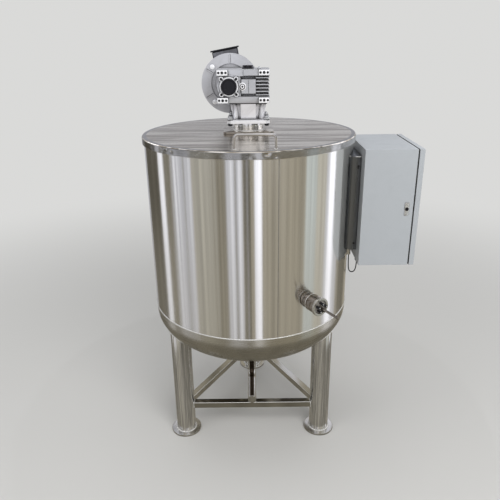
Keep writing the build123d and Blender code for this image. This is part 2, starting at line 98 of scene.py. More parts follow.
(_, _, seam_z), (shell_radius, _, shell_top) = reach("jacket_shell")
print("shell of radius", round(shell_radius, 1), "from", round(seam_z, 1), "to",
      round(shell_top, 1), "mm")

# %% [markdown]
# ## Camera
# The camera stands where the photographer stood, found from the round lid, the seam and the feet:
# 1.43 m above the floor, looking down by 21.6 degrees. Its own right, up and back make its matrix.

# %% Camera
pitch, yaw, roll = radians(21.58), radians(-0.33), radians(0.79)
focal_pixels, picture_pixels = 528.7, 500
ahead = Vector((sin(yaw) * cos(pitch), cos(yaw) * cos(pitch), -sin(pitch)))
level = Vector((cos(yaw), -sin(yaw), 0))
right = level * cos(roll) + ahead.cross(level) * sin(roll)
lens = bpy.data.cameras.new("camera")
lens.sensor_width = 36
lens.lens = focal_pixels * lens.sensor_width / picture_pixels
camera = add("camera", lens)
facing = Matrix((right, right.cross(ahead), -ahead)).transposed()
camera.matrix_world = Matrix.Translation(spot(9.6, -1853.8, 1430.4)) @ facing.to_4x4()
bpy.context.scene.camera = camera
bpy.context.scene.view_settings.view_transform = "Standard"
print("lens", round(lens.lens, 2), "mm")

# %% [markdown]
# ## A short way to write shader nodes
# Materials are trees of linked nodes. With these helpers a node and what goes into its sockets are
# one call, and a group is built once and placed in many materials.

# %% Node helpers
def wire(tree, made, **inputs):
    """Fills the sockets of a node with numbers, other nodes or their outputs. in0, in1 name
    sockets by number, and other words by their label, with _ for a space."""
    for name, value in inputs.items():
        socket = made.inputs[int(name[2:]) if name[2:].isdigit() else name.replace("_", " ")]
        if isinstance(value, bpy.types.Node):
            value = value.outputs[0]
        if isinstance(value, bpy.types.NodeSocket):
            tree.links.new(value, socket)
        else:
            socket.default_value = value
    return made


def node(tree, kind, settings=None, **inputs):
    """Adds a shader node with its settings and fills its sockets."""
    made = tree.nodes.new("ShaderNode" + kind)
    for name, value in (settings or {}).items():
        setattr(made, name, value)
    return wire(tree, made, **inputs)


def maths(tree, operation, *values, **settings):
    """A node that calculates with two or three values."""
    inputs = {f"in{number}": value for number, value in enumerate(values)}
    return node(tree, "Math", {"operation": operation, **settings}, **inputs)


def ranged(tree, value, low, high, kind="SMOOTHSTEP", to=(0, 1)):
    """Maps the range from low to high onto another, by a soft step or a straight line."""
    return node(tree, "MapRange", {"interpolation_type": kind}, in0=value, in1=low, in2=high,
                in3=to[0], in4=to[1])


def mixed(tree, share, first, second):
    """The first colour where share is 0 and the second where it is 1."""
    return node(tree, "Mix", {"data_type": "RGBA"}, in0=share, in6=first, in7=second).outputs[2]


def new_group(name, output, **inputs):
    """An empty node group: its tree, its named inputs and its one output value."""
    tree = bpy.data.node_groups.new(name, "ShaderNodeTree")
    for label, value in inputs.items():
        kind = "NodeSocketVector" if isinstance(value, tuple) else "NodeSocketFloat"
        tree.interface.new_socket(label, in_out="INPUT", socket_type=kind).default_value = value
    tree.interface.new_socket(output, in_out="OUTPUT", socket_type="NodeSocketFloat")
    print("group", name)
    return tree, tree.nodes.new("NodeGroupInput").outputs, tree.nodes.new("NodeGroupOutput")


def place(tree, group, **inputs):
    """Puts a finished group into a material."""
    return node(tree, "Group", {"node_tree": group}, **inputs)


def new_material(name):
    """A material, its tree of nodes and its main shader."""
    made = bpy.data.materials.new(name)
    made.use_nodes = True
    return made, made.node_tree, made.node_tree.nodes["Principled BSDF"]


# %% [markdown]
# ## Pale studio
# A plain pale floor and world stand in for the workshop. Far away the floor fades into the world's
# colour, so no horizon shows. The fade serves only what is seen: the floor keeps the shadow and
# lights nothing by itself.

# %% World and floor
backdrop = (0.70, 0.70, 0.69, 1)
floor_half, fade_from, fade_to = 40.0, 0.9, 3.6


def seen_rays(tree):
    """1 for rays from the camera, mirrors and glass, and 0 for rays that carry light."""
    path = node(tree, "LightPath").outputs
    seen = maths(tree, "MAXIMUM", path["Is Camera Ray"], path["Is Glossy Ray"])
    return maths(tree, "MAXIMUM", seen, path["Is Transmission Ray"])


world = bpy.data.worlds.new("pale studio")
bpy.context.scene.world = world
world.use_nodes = True
tree = world.node_tree
tree.nodes.clear()
pale = node(tree, "Background", Color=backdrop, Strength=1.0)
fill = node(tree, "Background", Color=(0.96, 0.98, 1.0, 1), Strength=0.55)
both = node(tree, "MixShader", Fac=seen_rays(tree), in1=fill, in2=pale)
node(tree, "OutputWorld", Surface=both)

paint, tree, matt = new_material("pale floor")
wire(tree, matt, Base_Color=(0.62, 0.61, 0.59, 1), Roughness=0.75)
from_axis = node(tree, "VectorMath", {"operation": "DISTANCE"}, in1=tuple(ground),
                 in0=node(tree, "NewGeometry").outputs["Position"]).outputs["Value"]
faded = maths(tree, "MULTIPLY", ranged(tree, from_axis, fade_from, fade_to), seen_rays(tree))
plain = node(tree, "Emission", Color=backdrop, Strength=1.0)
both = node(tree, "MixShader", Fac=faded, in1=matt, in2=plain)
wire(tree, tree.nodes["Material Output"], Surface=both)
floor_corners = floor_half * np.array([(-1, -1, 0), (1, -1, 0), (1, 1, 0), (-1, 1, 0)])
floor = add("studio_floor", new_mesh("studio_floor", floor_corners, np.array([(0, 1, 2, 3)])))
floor.data.materials.append(paint)
print("floor", 2 * floor_half, "m square")

# %% [markdown]
# ## Reflection boards
# What a mirror shows is most of its looks, so photographers stand panels and cards round polished
# metal. Here a round wall and a card on the floor show only in reflections. Their glow is a
# function of direction: a warm grey, panels that blend in their own level between two directions,
# and fine streaks.

# %% Light panels by direction
board_radius, board_height = 0.95, 2.6
panel_edge, low_dimming, lid_line = 0.4, 0.26, 1.15
fine_band, coarse_band = 0.043, 0.109
ambient_level, warm, mild = 0.36, (1.0, 0.92, 0.74), (1.0, 0.965, 0.85)
white, sky = (0.965, 0.98, 1.06), (0.93, 1.0, 0.99)
# Each panel has the directions where it starts and ends, its level and its tint.
panels = [(-128, -95.5, 0.11, warm), (-94.5, -86.5, 1.2, white), (-86, -76, 0.21, warm),
          (-75.5, -51, 0.56, white), (-142, -129, 0.44, white), (-74, -72.8, 0.3, mild),
          (-71.5, -69.5, 1.15, white), (-67, -65.5, 1.0, white), (-60, -58.8, 0.3, mild),
          (-54.5, -53, 0.9, white), (-50, -28, 0.40, mild), (-42.5, -40, 0.50, mild),
          (-31.5, -30.5, 0.27, warm), (-27.5, -19.5, 0.27, warm), (-19.5, -5.5, 0.60, white),
          (-16, -13.5, 1.0, white), (-12, -11, 0.36, mild), (-9, -6.5, 0.86, white),
          (-4.8, 1, 0.15, warm), (-2, -1.2, 0.35, white), (4.2, 10.6, 1.2, white),
          (19, 24, 0.33, warm), (34, 39.5, 0.42, warm), (50.5, 63, 0.60, sky),
          (63, 75, 0.56, mild), (75, 97, 0.70, white), (79, 89, 1.4, white),
          (103, 124, 0.13, warm), (138, 150, 1.0, white), (163, 170, 0.75, white),
          (-168, -163, 0.16, warm), (-152, -143, 1.0, white)]
# Each light above the lid has its direction, half its width and its level.
upper_lights = [(-122, 34, 1.3), (112, 28, 1.3), (-8, 36, 0.7)]
upper_dark, soft_edge = 0.16, 4


def smooth(value, low, high):
    """0 below low, 1 above high, and the curve 3t^2 - 2t^3 in between."""
    t = np.clip((value - low) / (high - low), 0, 1)
    return t * t * (3 - 2 * t)


def streaks(azimuth, pitch_of_streaks, seed):
    """Random levels from -1 to 1, one for each pitch of direction, joined by straight lines."""
    count = int(360 / pitch_of_streaks)
    levels = np.random.default_rng(seed).uniform(-1, 1, count)
    return np.interp(azimuth, np.linspace(-180, 180, count + 1), np.append(levels, levels[0]))


def glow(azimuth, height):
    """The colour of the boards in a direction and at a height. Above the lid's height the panels
    give way to soft lights at the sides and in the middle, and at the back to level bands."""
    ambient = np.array(warm) * ambient_level
    colour = np.broadcast_to(ambient, azimuth.shape + (3,)).copy()
    for start, end, light, tint in panels:
        begun, ended = (smooth(azimuth, at - panel_edge, at + panel_edge) for at in (start, end))
        colour += (begun - ended)[..., None] * (light * np.array(tint) - colour)
    fading = 1 - low_dimming + low_dimming * smooth(height, 0.3, 0.85)[..., None]
    colour = ambient + fading * (colour - ambient)
    uneven = 1 + 0.15 * streaks(azimuth, 1.7, 7) + 0.15 * streaks(azimuth, 0.6, 3)
    colour *= uneven[..., None]
    level = upper_dark + 0 * azimuth
    for facing, half, light in upper_lights:
        level += light * smooth(abs(azimuth - facing), half, half - soft_edge)
    above = smooth(height, lid_line, 1.2)[..., None]
    colour += above * (level[..., None] * white - colour)
    phase = height * 2 * pi
    bands = 0.46 + 0.12 * np.sin(phase / fine_band) + 0.10 * np.sin(phase / coarse_band)
    upper = (smooth(height, 1.12, 1.2) * smooth(abs(azimuth), 118, 130))[..., None]
    return colour + upper * (bands[..., None] * white - colour)


print(len(panels), "panels")


# %% Boards and floor card
def board(name, azimuth, distance, height, colour):
    """A sheet that glows in its own colours and shows only in reflections. Its points are
    (distance sin azimuth, -distance cos azimuth, height)."""
    around = np.radians(azimuth)
    points = np.stack(np.broadcast_arrays(distance * np.sin(around), -distance * np.cos(around),
                                          height), -1)
    mesh = new_mesh(name, (points + ground).reshape(-1, 3), grid_faces(*azimuth.shape))
    layer = mesh.color_attributes.new(name="glow", type="FLOAT_COLOR", domain="POINT")
    rgba = np.concatenate([colour, np.ones(azimuth.shape + (1,))], -1)
    layer.data.foreach_set("color", rgba.ravel())
    light, tree, _ = new_material(name)
    shine = node(tree, "Emission", Strength=1.0,
                 Color=node(tree, "Attribute", {"attribute_name": "glow"}))
    wire(tree, tree.nodes["Material Output"], Surface=shine)
    mesh.materials.append(light)
    made = add(name, mesh)
    made.visible_camera = made.visible_diffuse = made.visible_shadow = False
    made.visible_transmission = made.visible_volume_scatter = False
    print(name, "of", len(mesh.polygons), "faces")


azimuth, height = np.meshgrid(np.linspace(-180, 180, 1441), np.linspace(0, board_height, 131))
board("reflection_wall", azimuth, board_radius, height, glow(azimuth, height))
azimuth, distance = np.meshgrid(np.linspace(-180, 180, 721), np.linspace(0.02, board_radius, 40))
card_level = 0.19 + 0.04 * streaks(azimuth, 9, 5)
board("reflection_card", azimuth, distance, 0.002, card_level[..., None] * np.array(warm))

# %% [markdown]
# ## Lamps
# Large area lamps give soft shadows. The key lamp hangs in front on the right, so that the narrow
# space beside the cabinet stays dark, and a weaker one fills from the left. A wide one over the
# lid isn't mirrored, because the flat lid would show it as a white patch.

# %% Lamps
lamps = [("key", (1300, -2600, 2700), 2.4, 66), ("fill", (-2300, -1700, 2100), 2.0, 14),
         ("top", (-100, 300, 3400), 2.4, 21)]
for name, where, size, power in lamps:
    lamp = bpy.data.lights.new(name + "_lamp", "AREA")
    lamp.shape, lamp.size, lamp.energy = "DISK", size, power
    holder = add(name + "_lamp", lamp)
    holder.location = spot(*where)
    holder.visible_glossy = name != "top"
    aim = spot(80, 0, 800) - holder.location
    holder.rotation_euler = aim.to_track_quat("-Z", "Y").to_euler()
print("lamps", [name for name, *rest in lamps])

# %% [markdown]
# ## Effects that several finishes share
# *Drawn lines* stretches a noise into polish and brush marks. *Handling marks* are cloudy patches
# where hands and cloths have been. *Grain* is the tooth of castings, paint and plastic. *Settled
# dust* finds the faces that look up; on the braces and the handle the same mask carries a painted
# reflection and a painted highlight. *Corner grime* is painted shade: it darkens a point by how
# closed in it is.

# %% Drawn lines and handling marks
lines, given, out = new_group("drawn lines", "Lines", Vector=(0, 0, 0), Stretch=(1, 1, 1),
                              Contrast=1.5)
stretched = node(lines, "VectorMath", {"operation": "MULTIPLY"}, in0=given["Vector"],
                 in1=given["Stretch"])
wide = node(lines, "TexNoise", Vector=stretched, Scale=1.0, Detail=3.0, Roughness=0.55)
fine = node(lines, "TexNoise", Vector=stretched, Scale=5.3, Detail=2.0, Roughness=0.6)
centred = maths(lines, "SUBTRACT", maths(lines, "ADD", wide, fine), 1.0)
wire(lines, out, Lines=maths(lines, "MULTIPLY_ADD", centred, given["Contrast"], 0.5,
                             use_clamp=True))

marks, given, out = new_group("handling marks", "Marks", Vector=(0, 0, 0), Size=4.0, Amount=0.5)
clouds = node(marks, "TexNoise", Vector=given["Vector"], Scale=given["Size"], Detail=5.0,
              Roughness=0.62, Distortion=0.6)
wire(marks, out, Marks=maths(marks, "MULTIPLY", ranged(marks, clouds, 0.42, 0.72),
                             given["Amount"]))

# %% Grain, settled dust with painted top tones, and corner painted shade
grain, given, out = new_group("grain", "Height", Vector=(0, 0, 0), Size=400.0)
tooth = node(grain, "TexNoise", Vector=given["Vector"], Scale=given["Size"], Detail=3.0,
             Roughness=0.65)
pits = node(grain, "TexVoronoi", {"feature": "SMOOTH_F1"}, Vector=given["Vector"],
            Scale=given["Size"])
wire(grain, out, Height=maths(grain, "MULTIPLY_ADD", pits.outputs["Distance"], 0.5, tooth))

# Settled dust on faces that look up. Some finishes put a painted top tone through the same mask
# instead of dust: a painted reflection, a painted highlight.
dust, given, out = new_group("settled dust and painted top tone", "Dust", Vector=(0, 0, 0), Amount=0.3)
upward = node(dust, "SeparateXYZ", Vector=node(dust, "NewGeometry").outputs["Normal"])
facing_up = ranged(dust, upward.outputs["Z"], 0.55, 0.98)
drift = node(dust, "TexNoise", Vector=given["Vector"], Scale=9.0, Detail=6.0, Roughness=0.7)
lying = maths(dust, "MULTIPLY", facing_up, ranged(dust, drift, 0.35, 0.75, "LINEAR"))
wire(dust, out, Dust=maths(dust, "MULTIPLY", lying, given["Amount"]))

# Corner grime is painted shade: the more closed in a point is, the darker its colour.
creases, given, out = new_group("corner painted shade", "Grime", Reach=0.01, Amount=0.5)
closed_in = node(creases, "AmbientOcclusion", {"samples": 6}, Distance=given["Reach"])
hidden = ranged(creases, closed_in.outputs["AO"], 0.85, 0.5)
wire(creases, out, Grime=maths(creases, "MULTIPLY", hidden, given["Amount"]))

# %% [markdown]
# ## Finishes
# A *metal* is a mirror whose blur and tint follow the drawn lines, with its highlight stretched
# across them where it was polished in one direction. A *coat* is paint, plastic or rubber: its own
# colour, a fine grain and a little dust. Both darken their corners with painted shade.

# %% Metal and coat recipes
# The second colour is the painted shade that goes into corners and creases.
dust_colour, painted_shade_colour = (0.36, 0.35, 0.33, 1), (0.03, 0.028, 0.026, 1)
finishes = {}


def dusted_and_shaded(tree, clean, where, dust_and_painted_top, lying, corner_reach, painted_shade):
    """A clean colour under settled dust, a painted top tone on some finishes, and painted shade in
    corners.
    """
    top = mixed(tree, place(tree, dust, Vector=where, Amount=dust_and_painted_top), clean, lying)
    corner = place(tree, creases, Reach=corner_reach, Amount=painted_shade)
    return mixed(tree, corner, top, painted_shade_colour)


# The corner setting paints shade into corners; faces that look up take dust, and on some finishes
# a painted top tone.
def metal(name, colour, rough, stretch, depth=0.1, shade=0.12, glint=0.0, by_uv=False,
          mark_size=5.0, dust_and_painted_top=0.0, metallic=1.0, contrast=1.6, dark_tint=(1, 1, 1),
          lying=dust_colour, painted_shade=0.4):
    """A metal finish. Lines run where stretch is small; rough is the (least, most) roughness."""
    finishes[name], tree, surface = new_material(name)
    coordinates = node(tree, "TexCoord").outputs
    drawn = place(tree, lines, Vector=coordinates["UV" if by_uv else "Object"], Stretch=stretch,
                  Contrast=contrast)
    handled = place(tree, marks, Vector=coordinates["Object"], Size=mark_size, Amount=0.6)
    darker = tuple(part * (1 - shade) * hue for part, hue in zip(colour, dark_tint))
    tint = mixed(tree, drawn, (*darker, 1), (*colour, 1))
    uneven = maths(tree, "MULTIPLY_ADD", handled, 0.5, drawn)
    wire(tree, surface, Metallic=metallic,
         Roughness=ranged(tree, uneven, 0.0, 1.5, "LINEAR", rough),
         Base_Color=dusted_and_shaded(tree, tint, coordinates["Object"], dust_and_painted_top, lying, 0.006, painted_shade),
         Normal=node(tree, "Bump", Strength=depth, Distance=0.0004, Height=drawn))
    if glint:
        along = node(tree, "Tangent", {"direction_type": "UV_MAP", "uv_map": "surface"})
        wire(tree, surface, Anisotropic=glint, Anisotropic_Rotation=0.25, Tangent=along)


def coat(name, colour, rough, grain_size, depth, shade=0.15, dust_and_painted_top=0.15, metallic=0.0,
         gloss=0.5, painted_shade=0.7):
    """Paint, plastic or rubber: a colour in two close shades, a grain bump, settled dust and
    painted shade in corners.
    """
    finishes[name], tree, surface = new_material(name)
    where = node(tree, "TexCoord").outputs["Object"]
    tooth = place(tree, grain, Vector=where, Size=grain_size)
    cloudy = place(tree, marks, Vector=where, Size=12.0, Amount=1.0)
    darker = tuple(part * (1 - shade) for part in colour)
    tint = mixed(tree, cloudy, (*colour, 1), (*darker, 1))
    wire(tree, surface, Metallic=metallic, Specular_IOR_Level=gloss,
         Roughness=ranged(tree, cloudy, 0.0, 1.0, "LINEAR", rough),
         Base_Color=dusted_and_shaded(tree, tint, where, dust_and_painted_top, dust_colour, 0.012, painted_shade),
         Normal=node(tree, "Bump", Strength=depth, Distance=0.0003, Height=tooth))


# %% Metals
metal("shell", (0.82, 0.805, 0.775), (0.12, 0.2), (110, 0.7, 1), depth=0.03, shade=0.1, glint=0.95,
      by_uv=True)
metal("tube", (0.97, 0.955, 0.925), (0.07, 0.16), (110, 1.2, 1), depth=0.05, shade=0.46, glint=0.9,
      by_uv=True, mark_size=14.0, contrast=4.5, metallic=0.9)
# On the handle the faces that look up are painted near white: a painted highlight along the top of
# the bar.
metal("bar", (0.64, 0.61, 0.57), (0.07, 0.16), (110, 1.2, 1), depth=0.05, by_uv=True,
      mark_size=14.0, dust_and_painted_top=3.0, lying=(1.0, 0.99, 0.97, 1))
metal("outlet", (0.96, 0.945, 0.92), (0.06, 0.14), (300, 2, 1), depth=0.04, shade=0.3, by_uv=True,
      contrast=2.5, metallic=0.85)
# A dark finish for the outlet's faces that look up and forward: a painted reflection of the dark
# dish.
metal("stained", (0.1, 0.078, 0.062), (0.08, 0.16), (200, 3, 1), depth=0.04, shade=0.5, by_uv=True,
      contrast=3.0)
metal("satin", (0.59, 0.565, 0.505), (0.22, 0.36), (5, 420, 1), depth=0.12, glint=0.4, by_uv=True)
metal("plain", (0.62, 0.6, 0.56), (0.22, 0.38), (60, 60, 6))
# The braces' tops are painted dark, a painted reflection of the dark dish above; the side braces'
# tops a slightly darker grey, painted shade.
metal("brace", (0.6, 0.585, 0.545), (0.12, 0.2), (4, 4, 60), depth=0.02, dust_and_painted_top=3.0,
      lying=(0.09, 0.083, 0.072, 1))
metal("side brace", (0.66, 0.64, 0.6), (0.12, 0.2), (4, 4, 60), depth=0.02, dust_and_painted_top=3.0,
      lying=(0.62, 0.61, 0.58, 1))
# A near-white finish for bevels and thin strips: a painted highlight along edges.
metal("painted edge highlight", (1.0, 0.99, 0.97), (0.3, 0.42), (40, 40, 40), depth=0.02, metallic=0.15,
      shade=0.05, painted_shade=0.0)
metal("foot", (0.76, 0.75, 0.73), (0.14, 0.28), (40, 40, 40), depth=0.05, shade=0.2,
      mark_size=20.0)
metal("turned", (0.33, 0.295, 0.255), (0.08, 0.18), (3, 700, 1), depth=0.05, glint=0.5, by_uv=True)
# The bracket's dark bluish grey is painted shade and painted reflection from the narrow gap beside
# the cabinet.
metal("bracket", (0.215, 0.225, 0.24), (0.26, 0.34), (70, 70, 1.2), depth=0.02, shade=0.22)
metal("lid", (0.985, 0.935, 0.85), (0.12, 0.28), (0.6, 15, 4), depth=0.02, shade=0.56, glint=0.6,
      by_uv=True, mark_size=3.2, dust_and_painted_top=0.05, contrast=6.0, dark_tint=(1.0, 0.93, 0.82))
# A darker copy of the lid's metal for its upright rim and outer band: painted shade.
metal("rim", (0.46, 0.455, 0.445), (0.13, 0.32), (22, 22, 50), depth=0.25, shade=0.22,
      contrast=1.8)
metal("weld", (0.95, 0.94, 0.92), (0.22, 0.38), (300, 300, 300), depth=0.2, mark_size=30.0,
      metallic=0.6)
metal("ground weld", (0.36, 0.35, 0.33), (0.2, 0.3), (300, 300, 40))
metal("zinc", (0.78, 0.79, 0.81), (0.2, 0.34), (200, 200, 200), depth=0.05, mark_size=60.0,
      metallic=0.8)
print("metals", list(finishes))

# %% Coats
# The corner setting of these coats paints shade into their corners and gaps, most on the cast and
# the cabinet.
coat("cast", (0.5, 0.505, 0.525), (0.34, 0.48), 900.0, 0.35, shade=0.16, metallic=0.5, dust_and_painted_top=0.2,
     painted_shade=0.95)
coat("bell", (0.8, 0.795, 0.815), (0.32, 0.44), 900.0, 0.3, shade=0.16, metallic=0.35, dust_and_painted_top=0.1,
     painted_shade=0.85)
coat("machined", (0.93, 0.93, 0.95), (0.24, 0.36), 2500.0, 0.06, shade=0.04, metallic=0.15,
     dust_and_painted_top=0.05, painted_shade=0.4)
# For the terminal box: its black plastic painted grey, a painted reflection; its bevels keep the
# black.
coat("grey", (0.155, 0.155, 0.175), (0.16, 0.26), 1500.0, 0.08, shade=0.6, dust_and_painted_top=0.1, gloss=0.8)
coat("insert", (0.27, 0.25, 0.225), (0.4, 0.5), 1500.0, 0.08, dust_and_painted_top=0.05, gloss=0.3, painted_shade=0.3)
coat("flange", (0.54, 0.54, 0.56), (0.34, 0.48), 900.0, 0.3, shade=0.12, metallic=0.45)
coat("black", (0.009, 0.009, 0.012), (0.2, 0.34), 1500.0, 0.1, dust_and_painted_top=0.06, gloss=0.25)
# The dark finish: painted shade in holes, grooves and gaps, and the real colour of the bracket's
# screws.
coat("dark", (0.008, 0.008, 0.009), (0.6, 0.7), 600.0, 0.1, dust_and_painted_top=0.0)
coat("rubber", (0.016, 0.016, 0.017), (0.5, 0.65), 800.0, 0.2, dust_and_painted_top=0.2)
coat("cabinet", (0.43, 0.452, 0.474), (0.42, 0.52), 700.0, 0.22, shade=0.04, dust_and_painted_top=0.12, painted_shade=1.0)
print(len(finishes), "finishes")

# %% [markdown]
# ## Surfaces from formulas
# Almost everything here was turned, bent or folded. Each formula returns a grid of points, its
# faces and a flat map (UV) in metres, u round the piece and v along it, for the polish lines.

# %% Rounded outlines and turned shapes
def eased(corners, radius, steps=5):
    """Rounds the inner corners of an open line, flat or in space. Each corner becomes a circular
    arc, written as a weighted quadratic: ((1-t)^2 start + 2wt(1-t) corner + t^2 end) over the same
    sum of weights, where w is the cosine of half the turn."""
    corners = np.asarray(corners, float)
    corner = corners[1:-1]
    before, after = corners[:-2] - corner, corners[2:] - corner
    length = [np.linalg.norm(side, axis=1, keepdims=True) for side in (before, after)]
    before, after = before / length[0], after / length[1]
    half = np.arccos(np.clip(-(before * after).sum(1, keepdims=True), -1, 1)) / 2
    cut = np.minimum(np.reshape(radius, (-1, 1)) * np.tan(half), 0.49 * np.minimum(*length))
    t = np.linspace(0, 1, steps + 1)[None, :, None]
    start, end = (corner + before * cut)[:, None], (corner + after * cut)[:, None]
    first, last, weight = (1 - t) ** 2, t ** 2, 2 * np.cos(half)[:, None] * t * (1 - t)
    arcs = (first * start + weight * corner[:, None] + last * end) / (first + weight + last)
    return np.vstack([corners[:1], arcs.reshape(-1, corners.shape[1]), corners[-1:]])


def unit(rows):
    """Each row divided by its own length."""
    return rows / np.linalg.norm(rows, axis=-1, keepdims=True)


def travelled(path):
    """How far each point of a path is from its start, along the path."""
    return np.append(0, np.cumsum(np.linalg.norm(np.diff(path, axis=0), axis=1)))


def skin(points, uv):
    """Joins a grid of points, rows by columns, into four-sided faces."""
    return points.reshape(-1, 3), grid_faces(*points.shape[:2]), uv.reshape(-1, 2) * mm


def turned(outline, steps=64):
    """Turns an outline of (radius, height) round Z: x = r cos a, y = r sin a, z = height. The
    angle starts at the back, so the map's seam is behind."""
    outline = np.asarray(outline, float)
    angle = pi / 2 + np.linspace(0, 2 * pi, steps + 1)
    radius, height = outline[:, :1], outline[:, 1:]
    points = np.stack([radius * np.cos(angle), radius * np.sin(angle), height + 0 * angle], -1)
    uv = np.broadcast_arrays(angle * outline[:, 0].max(), travelled(outline)[:, None])
    return skin(points, np.stack(uv, -1))


def moved(shape, to, up=(0, 0, 1), side=(1, 0, 0)):
    """Turns a shape so that its own Z points along up, and moves its origin to a point."""
    up = unit(np.asarray(up, float))
    across = unit(np.cross(up, side))
    return shape[0] @ np.array([np.cross(across, up), across, up]) + to, shape[1], shape[2]


def disc(radius, height):
    """The outline of a flat disc."""
    return [(0, 0), (radius, 0), (radius, height), (0, height)]


def lathe(outline, radii, arc_steps, steps, to=(0, 0, 0), up=(0, 0, 1), side=(1, 0, 0)):
    """Rounds an outline's corners unless the radii are 0, turns it and puts it in place."""
    outline = eased(outline, radii, arc_steps) if np.any(radii) else outline
    return moved(turned(outline, steps), to, up, side)


print("a coin has", len(turned(disc(5, 2))[1]), "faces")

# %% Bars along a path and blocks
def tube(path, radius, side, steps=20):
    """A round bar along a path: every ring is the path point plus radius times (side cos a +
    other sin a), where other is square to the path and to side. Ends that don't meet get caps."""
    path = np.asarray(path, float)
    heading = np.gradient(path, axis=0)
    closed = np.allclose(path[0], path[-1])
    if closed:
        heading[0] = heading[-1] = path[1] - path[-2]
    heading = unit(heading)
    side = np.broadcast_to(side, path.shape)
    side = unit(side - (side * heading).sum(1, keepdims=True) * heading)
    other = np.cross(heading, side)
    angle = np.linspace(0, 2 * pi, steps + 1)[None, :, None]
    radius = np.broadcast_to(radius, len(path))[:, None, None]
    rings = np.cos(angle) * side[:, None] + np.sin(angle) * other[:, None]
    rings = path[:, None] + radius * rings
    along = travelled(path)
    if not closed:
        rings = np.concatenate([np.broadcast_to(path[:1, None], rings[:1].shape), rings,
                                np.broadcast_to(path[-1:, None], rings[:1].shape)])
        along = np.concatenate([along[:1], along, along[-1:]])
    uv = np.broadcast_arrays(angle[0, :, 0] * radius.max(), along[:, None])
    return skin(rings, np.stack(uv, -1))


def block(low, high, radius, steps=3):
    """A block with round edges. Every point p of the six flat faces moves to q + radius times the
    direction of p - q, where q is p held inside a block that is smaller by radius."""
    low, high = np.asarray(low, float), np.asarray(high, float)
    half = (high - low) / 2
    inner = half - radius
    band = radius * np.tan(np.linspace(0, pi / 4, steps + 1))
    lines_on = [np.concatenate([-(size + band)[::-1], size + band]) for size in inner]
    faces = []
    for axis in range(3):
        first, second = (axis + 1) % 3, (axis + 2) % 3
        a, b = np.meshgrid(lines_on[first], lines_on[second], indexing="ij")
        for end in (-1, 1):
            p = np.empty(a.shape + (3,))
            p[..., first], p[..., second], p[..., axis] = a, b, end * half[axis]
            q = np.clip(p, -inner, inner)
            faces.append(skin((low + high) / 2 + q + radius * unit(p - q),
                              np.stack([a, b], -1)))
    return together(*faces)


def together(*shapes):
    """Several shapes as one: the points are stacked and the face numbers moved on."""
    starts = np.cumsum([0] + [len(shape[0]) for shape in shapes[:-1]])
    faces = np.concatenate([shape[1] + start for shape, start in zip(shapes, starts)])
    return np.concatenate([s[0] for s in shapes]), faces, np.concatenate([s[2] for s in shapes])


def spread(radius, *degrees):
    """Points of a circle round 0, as (x, y)."""
    return [(radius * cos(radians(turn)), radius * sin(radians(turn))) for turn in degrees]


print("a block has", len(block((0, 0, 0), (9, 9, 9), 1)[1]), "faces")

# %% [markdown]
# ## From a shape to a piece
# A piece is closed along its seams, smooth except at real edges, and rides on the CAD body that
# carries it. CAD pieces whose shape is right are kept, or a copy with softened edges stands in.


def show(mesh, name, finish, body="tank", stands_for=None, crease=40):
    """Smooths a mesh up to the crease angle, gives it a finish and puts it on its body."""
    mesh.materials.append(finishes[finish])
    mesh.shade_smooth()
    mesh.set_sharp_from_angle(angle=radians(crease))
    made = add(name, mesh)
    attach(made, body)
    if stands_for:
        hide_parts(stands_for)
    print(f"{name}: {len(mesh.polygons)} faces")
    return made


def piece(name, shape, finish, stands_for=None, crease=40):
    """Makes a mesh of a shape, or a list of shapes, in the tank's millimetres, merges its seams
    and shows it."""
    points, faces, uv = together(*shape) if isinstance(shape, list) else shape
    mesh = new_mesh(name, points * mm + ground, faces)
    layer = mesh.uv_layers.new(name="surface")
    layer.data.foreach_set("uv", uv[faces.ravel()].ravel())
    work = bmesh.new()
    work.from_mesh(mesh)
    bmesh.ops.remove_doubles(work, verts=work.verts, dist=1e-6)
    bmesh.ops.recalc_face_normals(work, faces=work.faces)
    work.to_mesh(mesh)
    work.free()
    return show(mesh, name, finish, "tank", stands_for, crease)


def softened(node_name, finish, width, body="tank", edge=None):
    """A copy of a CAD piece with its triangles merged and its sharp edges bevelled. The bevels
    may have a finish of their own."""
    work = bmesh.new()
    work.from_mesh(cad[node_name].data)
    bmesh.ops.remove_doubles(work, verts=work.verts, dist=1e-6)
    bmesh.ops.dissolve_limit(work, angle_limit=radians(0.5), verts=work.verts, edges=work.edges)
    mesh = bpy.data.meshes.new(node_name + "_soft")
    work.to_mesh(mesh)
    work.free()
    made = show(mesh, node_name + "_soft", finish, body, node_name)
    bevel = made.modifiers.new("soft edges", "BEVEL")
    bevel.width, bevel.segments = width * mm, 2
    bevel.limit_method, bevel.angle_limit = "ANGLE", radians(40)
    bevel.harden_normals = True
    if edge:
        mesh.materials.append(finishes[edge])
        bevel.material = 1


def keep(node_name, finish):
    """Gives a CAD piece that is shown as it is its finish."""
    mesh = cad[node_name].data
    mesh.materials.clear()
    mesh.materials.append(finishes[finish])
    print(node_name, "keeps its shape")


def face_values(made, what):
    """The normals or centres of a piece's faces, one row each."""
    values = np.empty(len(made.data.polygons) * 3)
    made.data.polygons.foreach_get(what, values)
    return values.reshape(-1, 3)


def second_finish(made, finish, chosen):
    """Gives the chosen faces of a piece another finish."""
    made.data.materials.append(finishes[finish])
    made.data.polygons.foreach_set("material_index", chosen.astype(np.int32))


# %% [markdown]
# ## Jacket, seam and dished bottom
# Rolled polished sheet with one upright weld, and a spun dish: a straight rim and a quarter
# ellipse. Weld beads are thin bars whose radius ripples, as each drop of metal leaves a wave.

